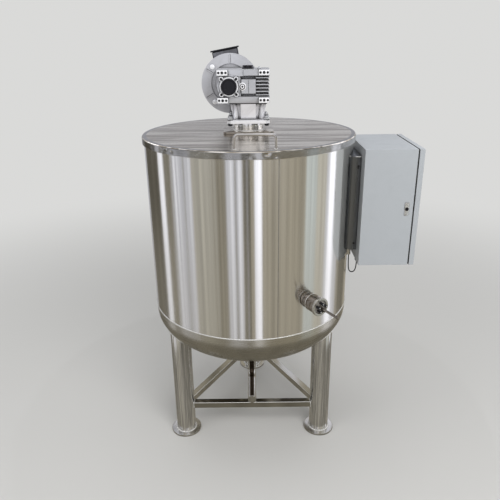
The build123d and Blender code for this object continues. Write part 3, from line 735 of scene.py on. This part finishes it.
# %% Jacket and dish
inside, halfway = shell_radius - 3.0, (seam_z + shell_top) / 2
shell_outline = [(inside, halfway), (inside, seam_z), (shell_radius, seam_z),
                 (shell_radius, shell_top), (inside, shell_top), (inside, halfway)]
piece("shell", turned(shell_outline, 360), "shell", "jacket_shell")

dish_bottom, dish_top = (corner[2] for corner in reach("jacket_dish"))
dish_straight, dish_wall, outlet_radius = 20.0, 4.0, 16.0
knee_z = dish_top - dish_straight
dish_depth = knee_z - dish_bottom
sweep = np.linspace(0, np.arccos(outlet_radius / shell_radius), 60)
outer, inner = (np.stack([(shell_radius - inset) * np.cos(sweep),
                          knee_z - (dish_depth - inset) * np.sin(sweep)], -1)
                for inset in (0, dish_wall))
edge = [(shell_radius, seam_z), (shell_radius - dish_wall, seam_z)]
piece("dish", turned(np.vstack([outer[::-1], edge, inner, outer[-1:]]), 240), "satin",
      "jacket_dish")


# %% Weld beads
def bead(name, path, radius, side, stands_for=None, finish="weld"):
    """A weld bead along a path: a bar whose radius is radius (1 + 0.12 cos(2 pi s / pitch))."""
    along, ripple_pitch = travelled(path), 3.2
    waves = max(round(along[-1] / ripple_pitch), 1)
    swell = radius * (1 + 0.12 * np.cos(2 * pi * waves * along / along[-1]))
    piece(name, tube(path, swell, side, 10), finish, stands_for)


def ring(radius, z, centre, steps):
    """A level circle of points, and the direction away from its middle at each of them."""
    angle = np.linspace(0, 2 * pi, steps + 1)
    away = np.stack([np.cos(angle), np.sin(angle), 0 * angle], -1)
    return away * radius + [*centre, z], away


def weld_ring(name, radius, z, centre=(0, 0), size=2.5, steps=240, stands_for=None):
    """A bead round an upright piece."""
    path, away = ring(radius, z, centre, steps)
    bead(name, path, size, away, stands_for)


weld_ring("dish_seam", shell_radius - 0.8, seam_z, size=2.3, steps=2800, stands_for="seam_weld")
weld_angle = radians(14.2)           # from the front towards the cabinet
weld_side = np.array([sin(weld_angle), -cos(weld_angle), 0])
heights = np.linspace(seam_z + 2, shell_top - 22, 700)[:, None]
bead("jacket_weld", weld_side * (shell_radius - 1.2) + heights * [0, 0, 1], 1.7,
     np.cross(weld_side, [0, 0, 1]), finish="ground weld")

# %% [markdown]
# ## Lid
# A flat disc with its rim turned down, brushed from left to right, so its flat map is simply x
# and y. Knocks have dented the rim: near each it is pushed in by a bump-shaped (Gaussian) amount.

# %% Lid
(_, _, rim_bottom), (lid_radius, _, lid_top) = reach("lid")
lid_sheet, lid_band = 3.0, 15.0
rim_inside = lid_radius - lid_sheet
outline = eased([(0, lid_top), (lid_radius - lid_band, lid_top), (lid_radius, lid_top),
                 (lid_radius, rim_bottom), (rim_inside, rim_bottom),
                 (rim_inside, lid_top - lid_sheet), (0, lid_top - lid_sheet)],
                [1.0, 4.0, 1.2, 1.2, 2.0], 6)
rows, bend_end = 9, lid_top - 5.5        # more rows on the upright rim, for the dents
rim_rows = np.stack([np.full(rows, lid_radius), np.linspace(bend_end, rim_bottom + 1.5, rows)], -1)
split = int(np.argmax(outline[:, 1] < bend_end + 0.3))
points, faces, _ = turned(np.vstack([outline[:split], rim_rows, outline[split:]]), 480)
# Each dent has its direction, its depth below the lid's top, its width in degrees and its push.
dents = [(-43.5, 8, 4.0, 2.6), (-39.5, 15, 3.0, 2.0), (8.6, 9, 4.5, 2.4), (12.5, 16, 3.0, 1.8),
         (2.0, 19, 5.0, 0.8), (-64.0, 12, 3.5, 1.0), (-20.0, 17, 6.0, 0.7), (37.0, 13, 4.0, 0.8),
         (61.0, 11, 4.0, 0.9), (118.0, 12, 5.0, 1.0), (-121.0, 15, 4.0, 1.2)]
bearing = np.degrees(np.arctan2(points[:, 0], -points[:, 1]))
drop = lid_top - points[:, 2]
push = np.zeros(len(points))
for where, below, width, depth in dents:
    sideways, upwards = (bearing - where) / (0.35 * width), (drop - below) / 4.5
    push += depth * np.exp(-sideways ** 2 - upwards ** 2)
push += smooth(drop, 1, 9) * (0.45 * streaks(bearing, 2.6, 21) + 0.25 * streaks(bearing, 1.1, 8))
push *= np.hypot(points[:, 0], points[:, 1]) > lid_radius - 6
points[:, :2] *= (1 - np.clip(push, 0, 2.8) / lid_radius)[:, None]
lid = piece("lid_dressed", (points, faces, points[:, :2] * mm), "lid", "lid")
# The upright rim and a band along the top's edge take the darker rim finish, painted shade; the
# rounded edge between keeps the bright lid finish as a painted highlight.
upright = face_values(lid, "normal")[:, 2]
from_axis = np.hypot(*(face_values(lid, "center") - ground)[:, :2].T) / mm
second_finish(lid, "rim", (np.abs(upright) < 0.25)
              | (from_axis > lid_radius - lid_band) & (upright > 0.99))

# %% Lid handle
low, high = reach("lid_handle")
half_bar, handle_y = (high[1] - low[1]) / 2, middle("lid_handle")[1]
left, right, rise = low[0] + half_bar, high[0] - half_bar, high[2] - half_bar
handle_line = eased([(left, handle_y, lid_top), (left, handle_y, rise), (right, handle_y, rise),
                     (right, handle_y, lid_top)], 12.0, 10)
piece("handle", tube(handle_line, half_bar, (0, 1, 0), 24), "bar", "lid_handle")
for side_name, x in (("left", left), ("right", right)):
    weld_ring(f"handle_weld_{side_name}", half_bar + 0.6, lid_top + 0.8, (x, handle_y), 1.3, 60)

# %% [markdown]
# ## Legs and feet
# Polished tubes cut to fit the dish. At a distance d from the tank's axis the dish is at
# knee - depth sqrt(1 - (d / radius)^2), which gives the tube's upper edge and its weld.

# %% Legs and feet
leg_radius, leg_wall = 36.5, 2.5
low, high = reach("foot_rear")
foot_radius, foot_top = (high[0] - low[0]) / 2, high[2]


def dish_height(x, y):
    """Height of the dish's outside over a point of the floor."""
    return knee_z - dish_depth * np.sqrt(1 - (x ** 2 + y ** 2) / shell_radius ** 2)


leg_spots = {}
angle = pi / 2 + np.linspace(0, 2 * pi, 97)
for name in ("front_left", "front_right", "rear"):
    x, y, _ = middle(f"foot_{name}")
    leg_spots[name] = np.array([x, y, 0])
    rows = []
    for radius, at_top in ((leg_radius, 0), (leg_radius, 1), (leg_radius - leg_wall, 1),
                           (leg_radius - leg_wall, 0), (leg_radius, 0)):
        px, py = x + radius * np.cos(angle), y + radius * np.sin(angle)
        rows.append(np.stack([px, py, dish_height(px, py) if at_top else foot_top + 0 * px], -1))
    along = np.array([0, 400, 403, 803, 806])[:, None]      # rough lengths, for the map only
    uv = np.stack(np.broadcast_arrays(angle * leg_radius, along), -1)
    piece(f"leg_tube_{name}", skin(np.stack(rows), uv), "tube", f"leg_{name}")
    cope, away = ring(leg_radius + 0.6, 0, (x, y), 288)
    cope[:, 2] = dish_height(cope[:, 0], cope[:, 1]) - 1.0
    bead(f"leg_weld_{name}", cope, 3.0, away)
    weld_ring(f"foot_weld_{name}", leg_radius + 0.8, foot_top + 0.6, (x, y), 3.2)
    piece(f"foot_disc_{name}", lathe(disc(foot_radius, foot_top), [0.6, 1.4], 4, 96, (x, y, 0)),
          "foot", f"foot_{name}")

# %% [markdown]
# ## Braces
# Softened square tubes from CAD, with a bead round the square where each end meets a leg.

# %% Braces
brace_half = 12.5
brace_z = reach("brace_front")[0][2] + brace_half
turn = np.linspace(0, 2 * pi, 97)
square = np.clip(np.stack([np.cos(turn), np.sin(turn)], -1) * brace_half * 1.25,
                 -brace_half, brace_half)
out_from_leg = np.sqrt(leg_radius ** 2 - square[:, :1] ** 2)
for side_name, finish, ends in (("front", "brace", ("front_left", "front_right")),
                                ("left", "side brace", ("front_left", "rear")),
                                ("right", "side brace", ("front_right", "rear"))):
    # The bevels along the braces' edges take a painted highlight.
    softened(f"brace_{side_name}", finish, 2.6, edge="painted edge highlight")
    for tag, start, other in (("a", *ends), ("b", *ends[::-1])):
        heading = unit(leg_spots[other] - leg_spots[start])
        line = (leg_spots[start] + heading * out_from_leg
                + np.cross([0, 0, 1], heading) * square[:, :1]
                + np.array([0, 0, 1]) * (brace_z + square[:, 1:]))
        bead(f"brace_weld_{side_name}_{tag}", line, 1.9, heading)

# %% [markdown]
# ## Outlet
# One polished tube drops from the middle of the dish, bends forward and lies on the front brace,
# where a welded disc closes it. Its faces that look up and forward are painted dark: a painted
# reflection of the dark dish above.

# %% Outlet pipe
forward, backward = (0, -1, 0), (0, 1, 0)
low, high = reach("outlet_pipe")
pipe_radius, pipe_bend = (high[0] - low[0]) / 2, 42.0
pipe_z = low[2] + pipe_radius
pipe_line = eased([(0, 0, dish_bottom + 25), (0, 0, pipe_z), (0, low[1], pipe_z)], pipe_bend, 16)
pipe = piece("outlet_tube", tube(pipe_line, pipe_radius, (1, 0, 0), 40), "outlet", "outlet_pipe")
normals = face_values(pipe, "normal")
# Faces that look up and forward are painted dark as a painted reflection.
second_finish(pipe, "stained", (np.abs(normals[:, 0]) < 0.6) & (normals[:, 2] > normals[:, 1]))
weld_ring("outlet_weld", pipe_radius + 1.0, dish_bottom + 0.4, size=2.8, steps=120)
low, high = reach("outlet_cap")
cap = lathe(disc((high[0] - low[0]) / 2, 3), [0.2, 0.9], 4, 48, (0, low[1] + 3, pipe_z), forward)
piece("outlet_end", cap, "foot", "outlet_cap")

# %% [markdown]
# ## Immersion heater
# Along one line out of the jacket lie a welded boss, a collar, the plug with its rim, the
# terminals and a short stiff sheath. Each is turned round the heater's own direction.

# %% Heater
heater_angle = radians(32.0)
heater_way = np.array([sin(heater_angle), -cos(heater_angle), 0])
heater_level = np.array([cos(heater_angle), sin(heater_angle), 0])
heater_z = middle("heater_collar")[2]
boss_radius, collar_radius, head_radius, recess = 25.0, 28.5, 31.0, 23.0
boss_end = shell_radius + 17
collar_end, waist = boss_end + 35, collar_radius - 1.6


def on_heater(outline, radii, arc_steps, distance, x=0.0, y=0.0, steps=56):
    """Turns an outline round the heater's line, from a distance out of the tank's axis."""
    to = heater_way * distance + heater_level * x + [0, 0, heater_z + y]
    return lathe(outline, radii, arc_steps, steps, to, heater_way, heater_level)


def round_heater(radius, distance):
    """A circle round the heater's line at a distance, or where it meets the jacket if None."""
    turn = np.linspace(0, 2 * pi, 121)[:, None]
    level, upright = radius * np.cos(turn), heater_z + radius * np.sin(turn)
    distance = distance or np.sqrt(shell_radius ** 2 - level ** 2)
    return heater_level * level + np.array([0, 0, 1]) * upright + heater_way * distance


piece("heater_socket", on_heater([(0, -32), (boss_radius, -32), (boss_radius, 0), (0, 0)],
                                 [0.5, 1.0], 4, boss_end), "turned", "heater_boss")
collar = [(0, 0), (collar_radius, 0), (collar_radius, 4), (waist, 4.8), (waist, 6.4),
          (collar_radius, 7.2), (collar_radius, 29), (waist, 30), (waist, 35), (0, 35)]
piece("heater_ring", on_heater(collar, [1, 0.3, 0.3, 0.3, 0.3, 1.2, 0.5, 0.3], 3, boss_end),
      "turned", "heater_collar")
head = [(0, 0), (head_radius - 2, 0), (head_radius, 4), (head_radius, 11), (recess, 11),
        (recess, 3), (0, 3)]
piece("heater_mouth", on_heater(head, [1, 1, 2.0, 1.2, 0.5], 4, collar_end), "plain",
      "heater_head")
insert = [(0, 3), (recess, 3), (recess, 6.4), (recess - 1, 7), (0, 7)]
piece("heater_plug", on_heater(insert, [0.1, 0.3, 0.5], 2, collar_end), "insert", "heater_insert")
bead("heater_weld", round_heater(boss_radius + 0.4, None), 1.3, heater_way, finish="ground weld")
bead("heater_joint", round_heater(boss_radius + 2.9, boss_end + 0.6), 0.9, heater_way)

# %% Heater terminals and sheath
sleeve = [(0, 0), (4.3, 0), (4.3, 16), (3.2, 17), (3.2, 12), (0, 12)]
stud = [(0, 0), (2.3, 0), (2.3, 17), (0, 18)]
spots = spread(14, 90, 162, 234, 306, 378)
piece("heater_sleeves", [on_heater(sleeve, [0.1, 1.4, 0.6, 0.3], 3, collar_end + 7, *at, 24)
                         for at in spots], "black")
piece("heater_studs", [on_heater(stud, [0.1, 0.9], 3, collar_end + 7, *at, 20) for at in spots],
      "zinc", "heater_terminals", crease=30)
sheath = [(0, 7), (6.5, 7), (6.5, 12), (4.0, 13), (4.0, 94), (0, 95)]
piece("heater_probe", on_heater(sheath, [0.6, 0.8, 0.6, 1.2], 3, collar_end, 0, -2, 24),
      "turned", "heater_sheath")

# %% [markdown]
# ## Mixer stand
# A brushed plate on the lid, a short polished neck, and the cast flange of the gearbox. A plate
# with round corners is an outline carried round a rounded rectangle: the corner circle shrinks
# by as much as the edge draws in.

# %% Mixer plate and neck
def plate(low, high, corner, edge, steps=6):
    """A plate with round upright corners and eased edges. The outline point at inset d lies at
    the corner's centre plus (corner - d) times (cos a, sin a)."""
    far_in = 1e3
    outline = eased([(far_in, low[2]), (0, low[2]), (0, high[2]), (far_in, high[2])], edge, 3)
    inset, is_middle = np.minimum(outline[:, :1], edge), outline[:, :1] == far_in
    a = np.append(np.add.outer(np.arange(4) * pi / 2, np.linspace(0, pi / 2, steps + 1)), 0)
    sides = []
    for axis, signs, turn in ((0, (1, -1, -1, 1), np.cos(a)), (1, (1, 1, -1, -1), np.sin(a))):
        centre, half = (low[axis] + high[axis]) / 2, (high[axis] - low[axis]) / 2
        corners = centre + np.append(np.repeat(signs, steps + 1), 1) * (half - corner)
        sides.append(np.where(is_middle, centre, corners + (corner - inset) * turn))
    points = np.stack([*sides, outline[:, 1:] + 0 * a], -1)
    return skin(points, points[..., :2])


stand = piece("stand_plate", plate(*reach("mixer_plate"), 12, 1.0), "lid", "mixer_plate")
# The plate's sides take the dark turned finish: painted shade along its edges.
second_finish(stand, "turned", face_values(stand, "normal")[:, 2] < 0.9)
(_, _, neck_foot), (neck_radius, _, neck_top) = reach("mixer_neck")
neck = [(0, neck_foot), (neck_radius, neck_foot), (neck_radius, neck_top), (0, neck_top)]
piece("neck", lathe(neck, 0.4, 2, 128), "tube", "mixer_neck")
weld_ring("neck_weld", neck_radius + 0.5, neck_foot + 0.6, size=1.8, steps=480)

# %% Output flange and its bolts
softened("output_flange", "bell", 1.6)
flange_under = reach("output_flange")[0][2]
flange_top = flange_under + 11


def hex_head(across, height):
    """A six-sided head with a chamfered top, from an outline turned in six steps."""
    corner = across / sqrt(3)
    return turned([(0, 0), (corner, 0), (corner, 0.8 * height), (0.88 * corner, height),
                   (0, height)], 6)


def socket_screw(head, height):
    """A cylinder-head screw with a sunk socket."""
    half = head / 2
    return lathe([(0, 0), (half, 0), (half, height), (0.5 * half, height),
                  (0.5 * half, 0.45 * height), (0, 0.4 * height)],
                 [0.1, 0.12 * head, 0.05, 0.05], 3, 20)


def bolt_end(radius, to, up=(0, 0, 1)):
    """The end of a bolt that stands out of its nut."""
    return lathe([(0, 0), (radius, 0), (radius, 12), (0, 12.6)], 0, 0, 16, to, up)


bolts, nuts = [], []
for at in spread(86, 45, 135, 225, 315):
    bolts += [moved(socket_screw(15, 8), (*at, flange_under), (0, 0, -1)),
              lathe(disc(9.5, 1.6), 0, 0, 28, (*at, flange_top))]
    nuts += [moved(hex_head(15, 7), (*at, flange_top + 1.6)), bolt_end(4.6, (*at, flange_top))]
piece("stand_bolts", bolts, "black", crease=30)
piece("stand_nuts", nuts, "zinc", crease=30)

# %% [markdown]
# ## Worm gearbox
# The CAD casting has the rails, pads, ribs and bosses. Its softened copy carries the small parts:
# black discs of painted shade for the threaded holes in the pads, the worm cover and its screws,
# the shaft cap, the level plug and a breather. A black sheet under it is a painted shadow.

# %% Gearbox pads and worm cover
softened("gearbox_housing", "cast", 1.2)
box_low, box_high = reach("gearbox_housing")
low, high = reach("worm_cover")
front, cover_radius = box_low[1], (high[0] - low[0]) / 2
worm_x, _, worm_z = middle("worm_cover")
worm_face = (worm_x, front, worm_z)
pad_half, pad_rise, lug_offset = 18.0, 9.0, 24.25
faces, hole_shades = [], []
for pad_x in (box_low[0] + pad_half, box_high[0] - pad_half):
    for pad_z in (box_low[2] + pad_rise, box_high[2] - pad_rise):
        faces.append(block((pad_x - pad_half + 1, front - 0.3, pad_z - pad_rise + 1),
                           (pad_x + pad_half - 1, front + 1, pad_z + pad_rise - 1), 0.25, 2))
        # Black discs in the pads stand for the threaded holes' dark insides: painted shade.
        for offset, size in ((-11.5, 7.5), (0, 9.0), (11.5, 7.5)):
            hole = [(0, 0.35), (size / 2 - 0.5, 0.35), (size / 2, 0.6), (size / 2 + 0.4, 0)]
            hole_shades.append(lathe(hole, 0, 0, 20, (pad_x + offset, front, pad_z), forward))
seat = [(cover_radius - 2, 0), (30, 0), (30, 0.3), (cover_radius - 2, 0.3)]
lugs = [(worm_x + dx, front, worm_z + dz) for dx in (-lug_offset, lug_offset)
        for dz in (-lug_offset, lug_offset)]
piece("machined_faces", [*faces, lathe(seat, 0.1, 1, 96, worm_face, forward),
                         *[lathe(disc(7.2, 0.3), 0, 0, 32, lug, forward) for lug in lugs]],
      "machined")
piece("pad_hole_shades", hole_shades, "dark", crease=60)
piece("cover_screws", [moved(socket_screw(8.5, 3.5), lug, forward) for lug in lugs], "black")
cover = [(0, 0), (cover_radius, 0), (cover_radius, 6), (cover_radius - 5, 6),
         (cover_radius - 7, 4.2), (0, 4.8)]
piece("worm_cap", lathe(cover, [0.3, 1.8, 1.0, 1.5], 4, 72, worm_face, forward), "black",
      "worm_cover")

# %% Painted shadow under the gearbox, shaft cap, level plug and breather
# A black sheet under the casting stands for the shadow gap above the flange: a painted shadow.
shadow_sheet = block((-62, -62, box_low[2] - 3.4), (62, 62, box_low[2] - 0.1), 0.5, 1)
piece("stand_shadow_sheet", shadow_sheet, "dark")
(_, _, cap_foot), (cap_radius, _, cap_top) = reach("shaft_cap")
rise = cap_top - cap_foot
cap = [(0, 0), (cap_radius, 0), (cap_radius, 3), (cap_radius - 2, 4), (cap_radius - 2, rise),
       (0, rise)]
piece("shaft_cover", lathe(cap, [0.3, 0.8, 0.5, 2.2], 3, 64, (0, 0, cap_foot)), "black",
      "shaft_cap")
plug_spot = (middle("level_plug")[0], reach("level_plug")[1][1], worm_z)
plug = [(0, 0), (10, 0), (10, 3), (6.5, 3.4), (6.5, 7), (3.4, 7), (3.2, 4), (0, 4)]
piece("oil_plug", lathe(plug, [0.2, 0.8, 0.2, 1.0, 0.4, 0.3], 3, 40, plug_spot, forward),
      "machined", "level_plug")
seat = [(9, -1), (12.4, -1), (12.4, 0.5), (9, 0.5)]
piece("plug_seat", lathe(seat, [0.1, 0.3], 2, 48, plug_spot, forward), "machined")
# Black rings on the groove floors of the level plug: painted shade in the grooves.
groove_shades = [([(6.4, 3.1), (9.0, 3.1), (9.0, 3.5), (6.4, 3.5), (6.4, 3.1)], 40),
           ([(0, 3.9), (3.4, 3.9), (3.4, 4.3), (0, 4.3)], 24)]
piece("plug_groove_shades", [lathe(groove, 0, 0, steps, plug_spot, forward)
                       for groove, steps in groove_shades], "dark")
breather_spot = (36, -52, box_high[2])
piece("breather", [moved(hex_head(12, 5), breather_spot),
                   lathe(disc(3.4, 9), [0.1, 1.6], 3, 20, breather_spot)], "zinc", crease=30)

# %% [markdown]
# ## Motor
# It hides behind the gearbox in the photo, but a buyer walks round the tank. Its finned body and
# fan cover come from CAD. The round flange gets its bolts, the terminal box screws and a gland.

# %% Motor flange
motor_y, flange_front = reach("motor_flange")[0][1], reach("input_flange")[1][1] - 12
softened("input_flange", "flange", 1.0)
softened("motor_body", "cast", 0.6)
softened("fan_cover", "cast", 0.5)
piece("motor_flange_disc", lathe(disc(100, 12), 1.2, 3, 144, (worm_x, motor_y, worm_z), backward),
      "flange", "motor_flange")
bolts, caps, rib_shadows = [], [], []
for dx, dz in spread(82.5, 47.6, 137.6, 227.6, 317.6):
    x, z = worm_x + dx, worm_z + dz
    if dx < 0:
        bolts.append(lathe(disc(9.6, 1.2), 0, 0, 28, (x, flange_front, z), forward))
        caps.append(lathe([(0, 0), (8.4, 0), (8.4, 3), (0, 4.2)], [0.2, 1.6], 3, 28,
                          (x, flange_front - 1.2, z), forward))
    bolts += [moved(hex_head(16, 8), (x, motor_y + 12, z), backward),
              bolt_end(4.8, (x, motor_y + 12, z), backward)]
# Thin black strips beside the flange's ribs: painted shadows of the ribs.
for across, up in spread(1, 90, 150, 210, 270):
    rib_shadows.append(moved(block((69, -3.4, -0.2), (95, -1.6, 0.4), 0.1, 1),
                       (worm_x, flange_front, worm_z), forward, (across, 0, up)))
piece("flange_bolts", bolts, "zinc", crease=30)
piece("flange_caps", caps, "machined")
piece("flange_rib_shadows", rib_shadows, "dark")

# %% Terminal box
# The box's face is painted grey as a painted reflection, and its bevels are black.
softened("terminal_box", "grey", 3.0, edge="black")
softened("terminal_lid", "black", 1.8)
tilt = radians(9.8)
box_up = np.array([-sin(tilt), 0, cos(tilt)])
box_side = np.array([cos(tilt), 0, sin(tilt)])
above_worm = np.array([worm_x, middle("terminal_lid")[1], worm_z]) + box_up * 114.6
piece("terminal_lid_screws",
      [moved(socket_screw(7, 1.8), above_worm + box_side * dx + [0, dy, 0], box_up, box_side)
       for dx in (-42, 42) for dy in (-38, 38)], "zinc", crease=30)
gland = together(hex_head(22, 6), lathe([(0, 6), (9.5, 6), (9.5, 14), (8, 18), (0, 18)],
                                        [0.2, 1.0, 1.0], 3, 32))
gland_spot = np.array([worm_x, reach("terminal_box")[1][1], worm_z]) + box_up * 98
piece("terminal_gland", moved(gland, gland_spot, backward, box_side), "black", crease=30)

# %% [markdown]
# ## Control cabinet
# Folded sheet with a textured powder coat. Softened copies of the CAD pieces catch light along
# their folds. The lock and the screws are small turned or rounded pieces.

# %% Cabinet
softened("cabinet_body", "cabinet", 0.7)
softened("cabinet_door", "cabinet", 0.7, "door")
for height_name in ("lower", "upper"):
    softened(f"hinge_{height_name}_fixed", "zinc", 0.5)
    softened(f"hinge_{height_name}_door", "zinc", 0.5, "door")
# The bracket takes its darkened finish: painted shade and painted reflection.
softened("cabinet_bracket", "bracket", 0.7)
keep("door_seal", "rubber")


def round_screw(head, neck, rim, height, rounding, at):
    """A low round head that looks forward."""
    outline = [(0, 0), (head, 0), (neck, rim), (0, height)]
    return lathe(outline, [0.2, rounding], 3, 20, at, forward)


piece("lock_cover", block(*reach("lock_plate"), 0.9), "zinc", "lock_plate")
lock_x, _, lock_z = middle("lock_plate")
lock_y = reach("lock_plate")[0][1]
barrel = [(0, 0), (6, 0), (6, 2), (4.6, 2), (4.2, 1.2), (0, 1.2)]
insert = together(lathe(barrel, [0.2, 0.6, 0.3, 0.3], 3, 36),
                  block((-3.4, -0.7, 1.0), (3.4, 0.7, 1.9), 0.3, 2))
piece("lock_barrel", moved(insert, (lock_x, lock_y, lock_z), forward), "black", "lock_insert")
piece("lock_screws", [round_screw(2.6, 2.2, 1.1, 1.5, 0.5, (lock_x, lock_y, lock_z + dz))
                      for dz in (-17, 17)], "zinc")

# %% Bracket
low, high = reach("cabinet_bracket")
piece("bracket_screws", [round_screw(3.6, 3.2, 1.8, 2.2, 0.6, (high[0] - 9, low[1], z))
                         for z in (low[2] + 24, high[2] - 33, high[2] - 39)], "dark")
# A thin strip along the bracket's top edge: a painted highlight.
piece("bracket_top_highlight", block((low[0] + 12, low[1] - 0.4, high[2] - 2.4),
                            (high[0] - 1, low[1] + 1, high[2]), 0.3, 1), "painted edge highlight")

# %% [markdown]
# ## Sensor lead
# A thin black lead leaves a pocket on the jacket, hangs in one loop and goes back into the gland
# under the cabinet. It is a free cord, so it is one smooth spline.

# %% Sensor pocket, gland and lead
keep("sensor_pocket", "plain")
gland_x, gland_y, _ = middle("cable_gland")
gland_z, pocket_z = reach("cable_gland")[0][2], reach("sensor_pocket")[0][2]
gland_body = [(0, 0), (5.5, 0), (7.2, 5), (7.2, 12), (8, 12.4), (8, 18), (0, 18)]
piece("lead_gland", lathe(gland_body, [0.8, 0.8, 0.2, 0.2, 0.6], 3, 32,
                          (gland_x, gland_y, gland_z)), "black", "cable_gland")
pocket_x, lead_radius, inwards, above = reach("sensor_pocket")[1][0] - 6, 2.0, 7.0, 20.0
loop_low = reach("sensor_lead")[0][2] + lead_radius
route = [(pocket_x, pocket_z), (pocket_x, loop_low + above), (pocket_x + inwards, loop_low),
         (gland_x - inwards, loop_low), (gland_x, loop_low + above), (gland_x, gland_z)]
curve = bpy.data.curves.new("sensor_cord", "CURVE")
curve.dimensions = "3D"
strand = curve.splines.new("NURBS")
strand.points.add(len(route) - 1)
for point, (x, z) in zip(strand.points, route):
    point.co = (*spot(x, gland_y, z), 1)
strand.order_u, strand.use_endpoint_u = 3, True
curve.bevel_depth, curve.bevel_resolution, curve.resolution_u = lead_radius * mm, 6, 24
curve.materials.append(finishes["rubber"])
cord = add("sensor_cord", curve)
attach(cord, "tank")
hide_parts("sensor_lead")
print("sensor cord of", len(route), "points")

# %% [markdown]
# ## Finish the hidden pieces
# The inner vessel and the ring that closes the jacket are hidden under the lid, but get a finish
# as well.

# %% Hidden pieces and their finish
for name in ("inner_vessel", "top_ring"):
    keep(name, "plain")
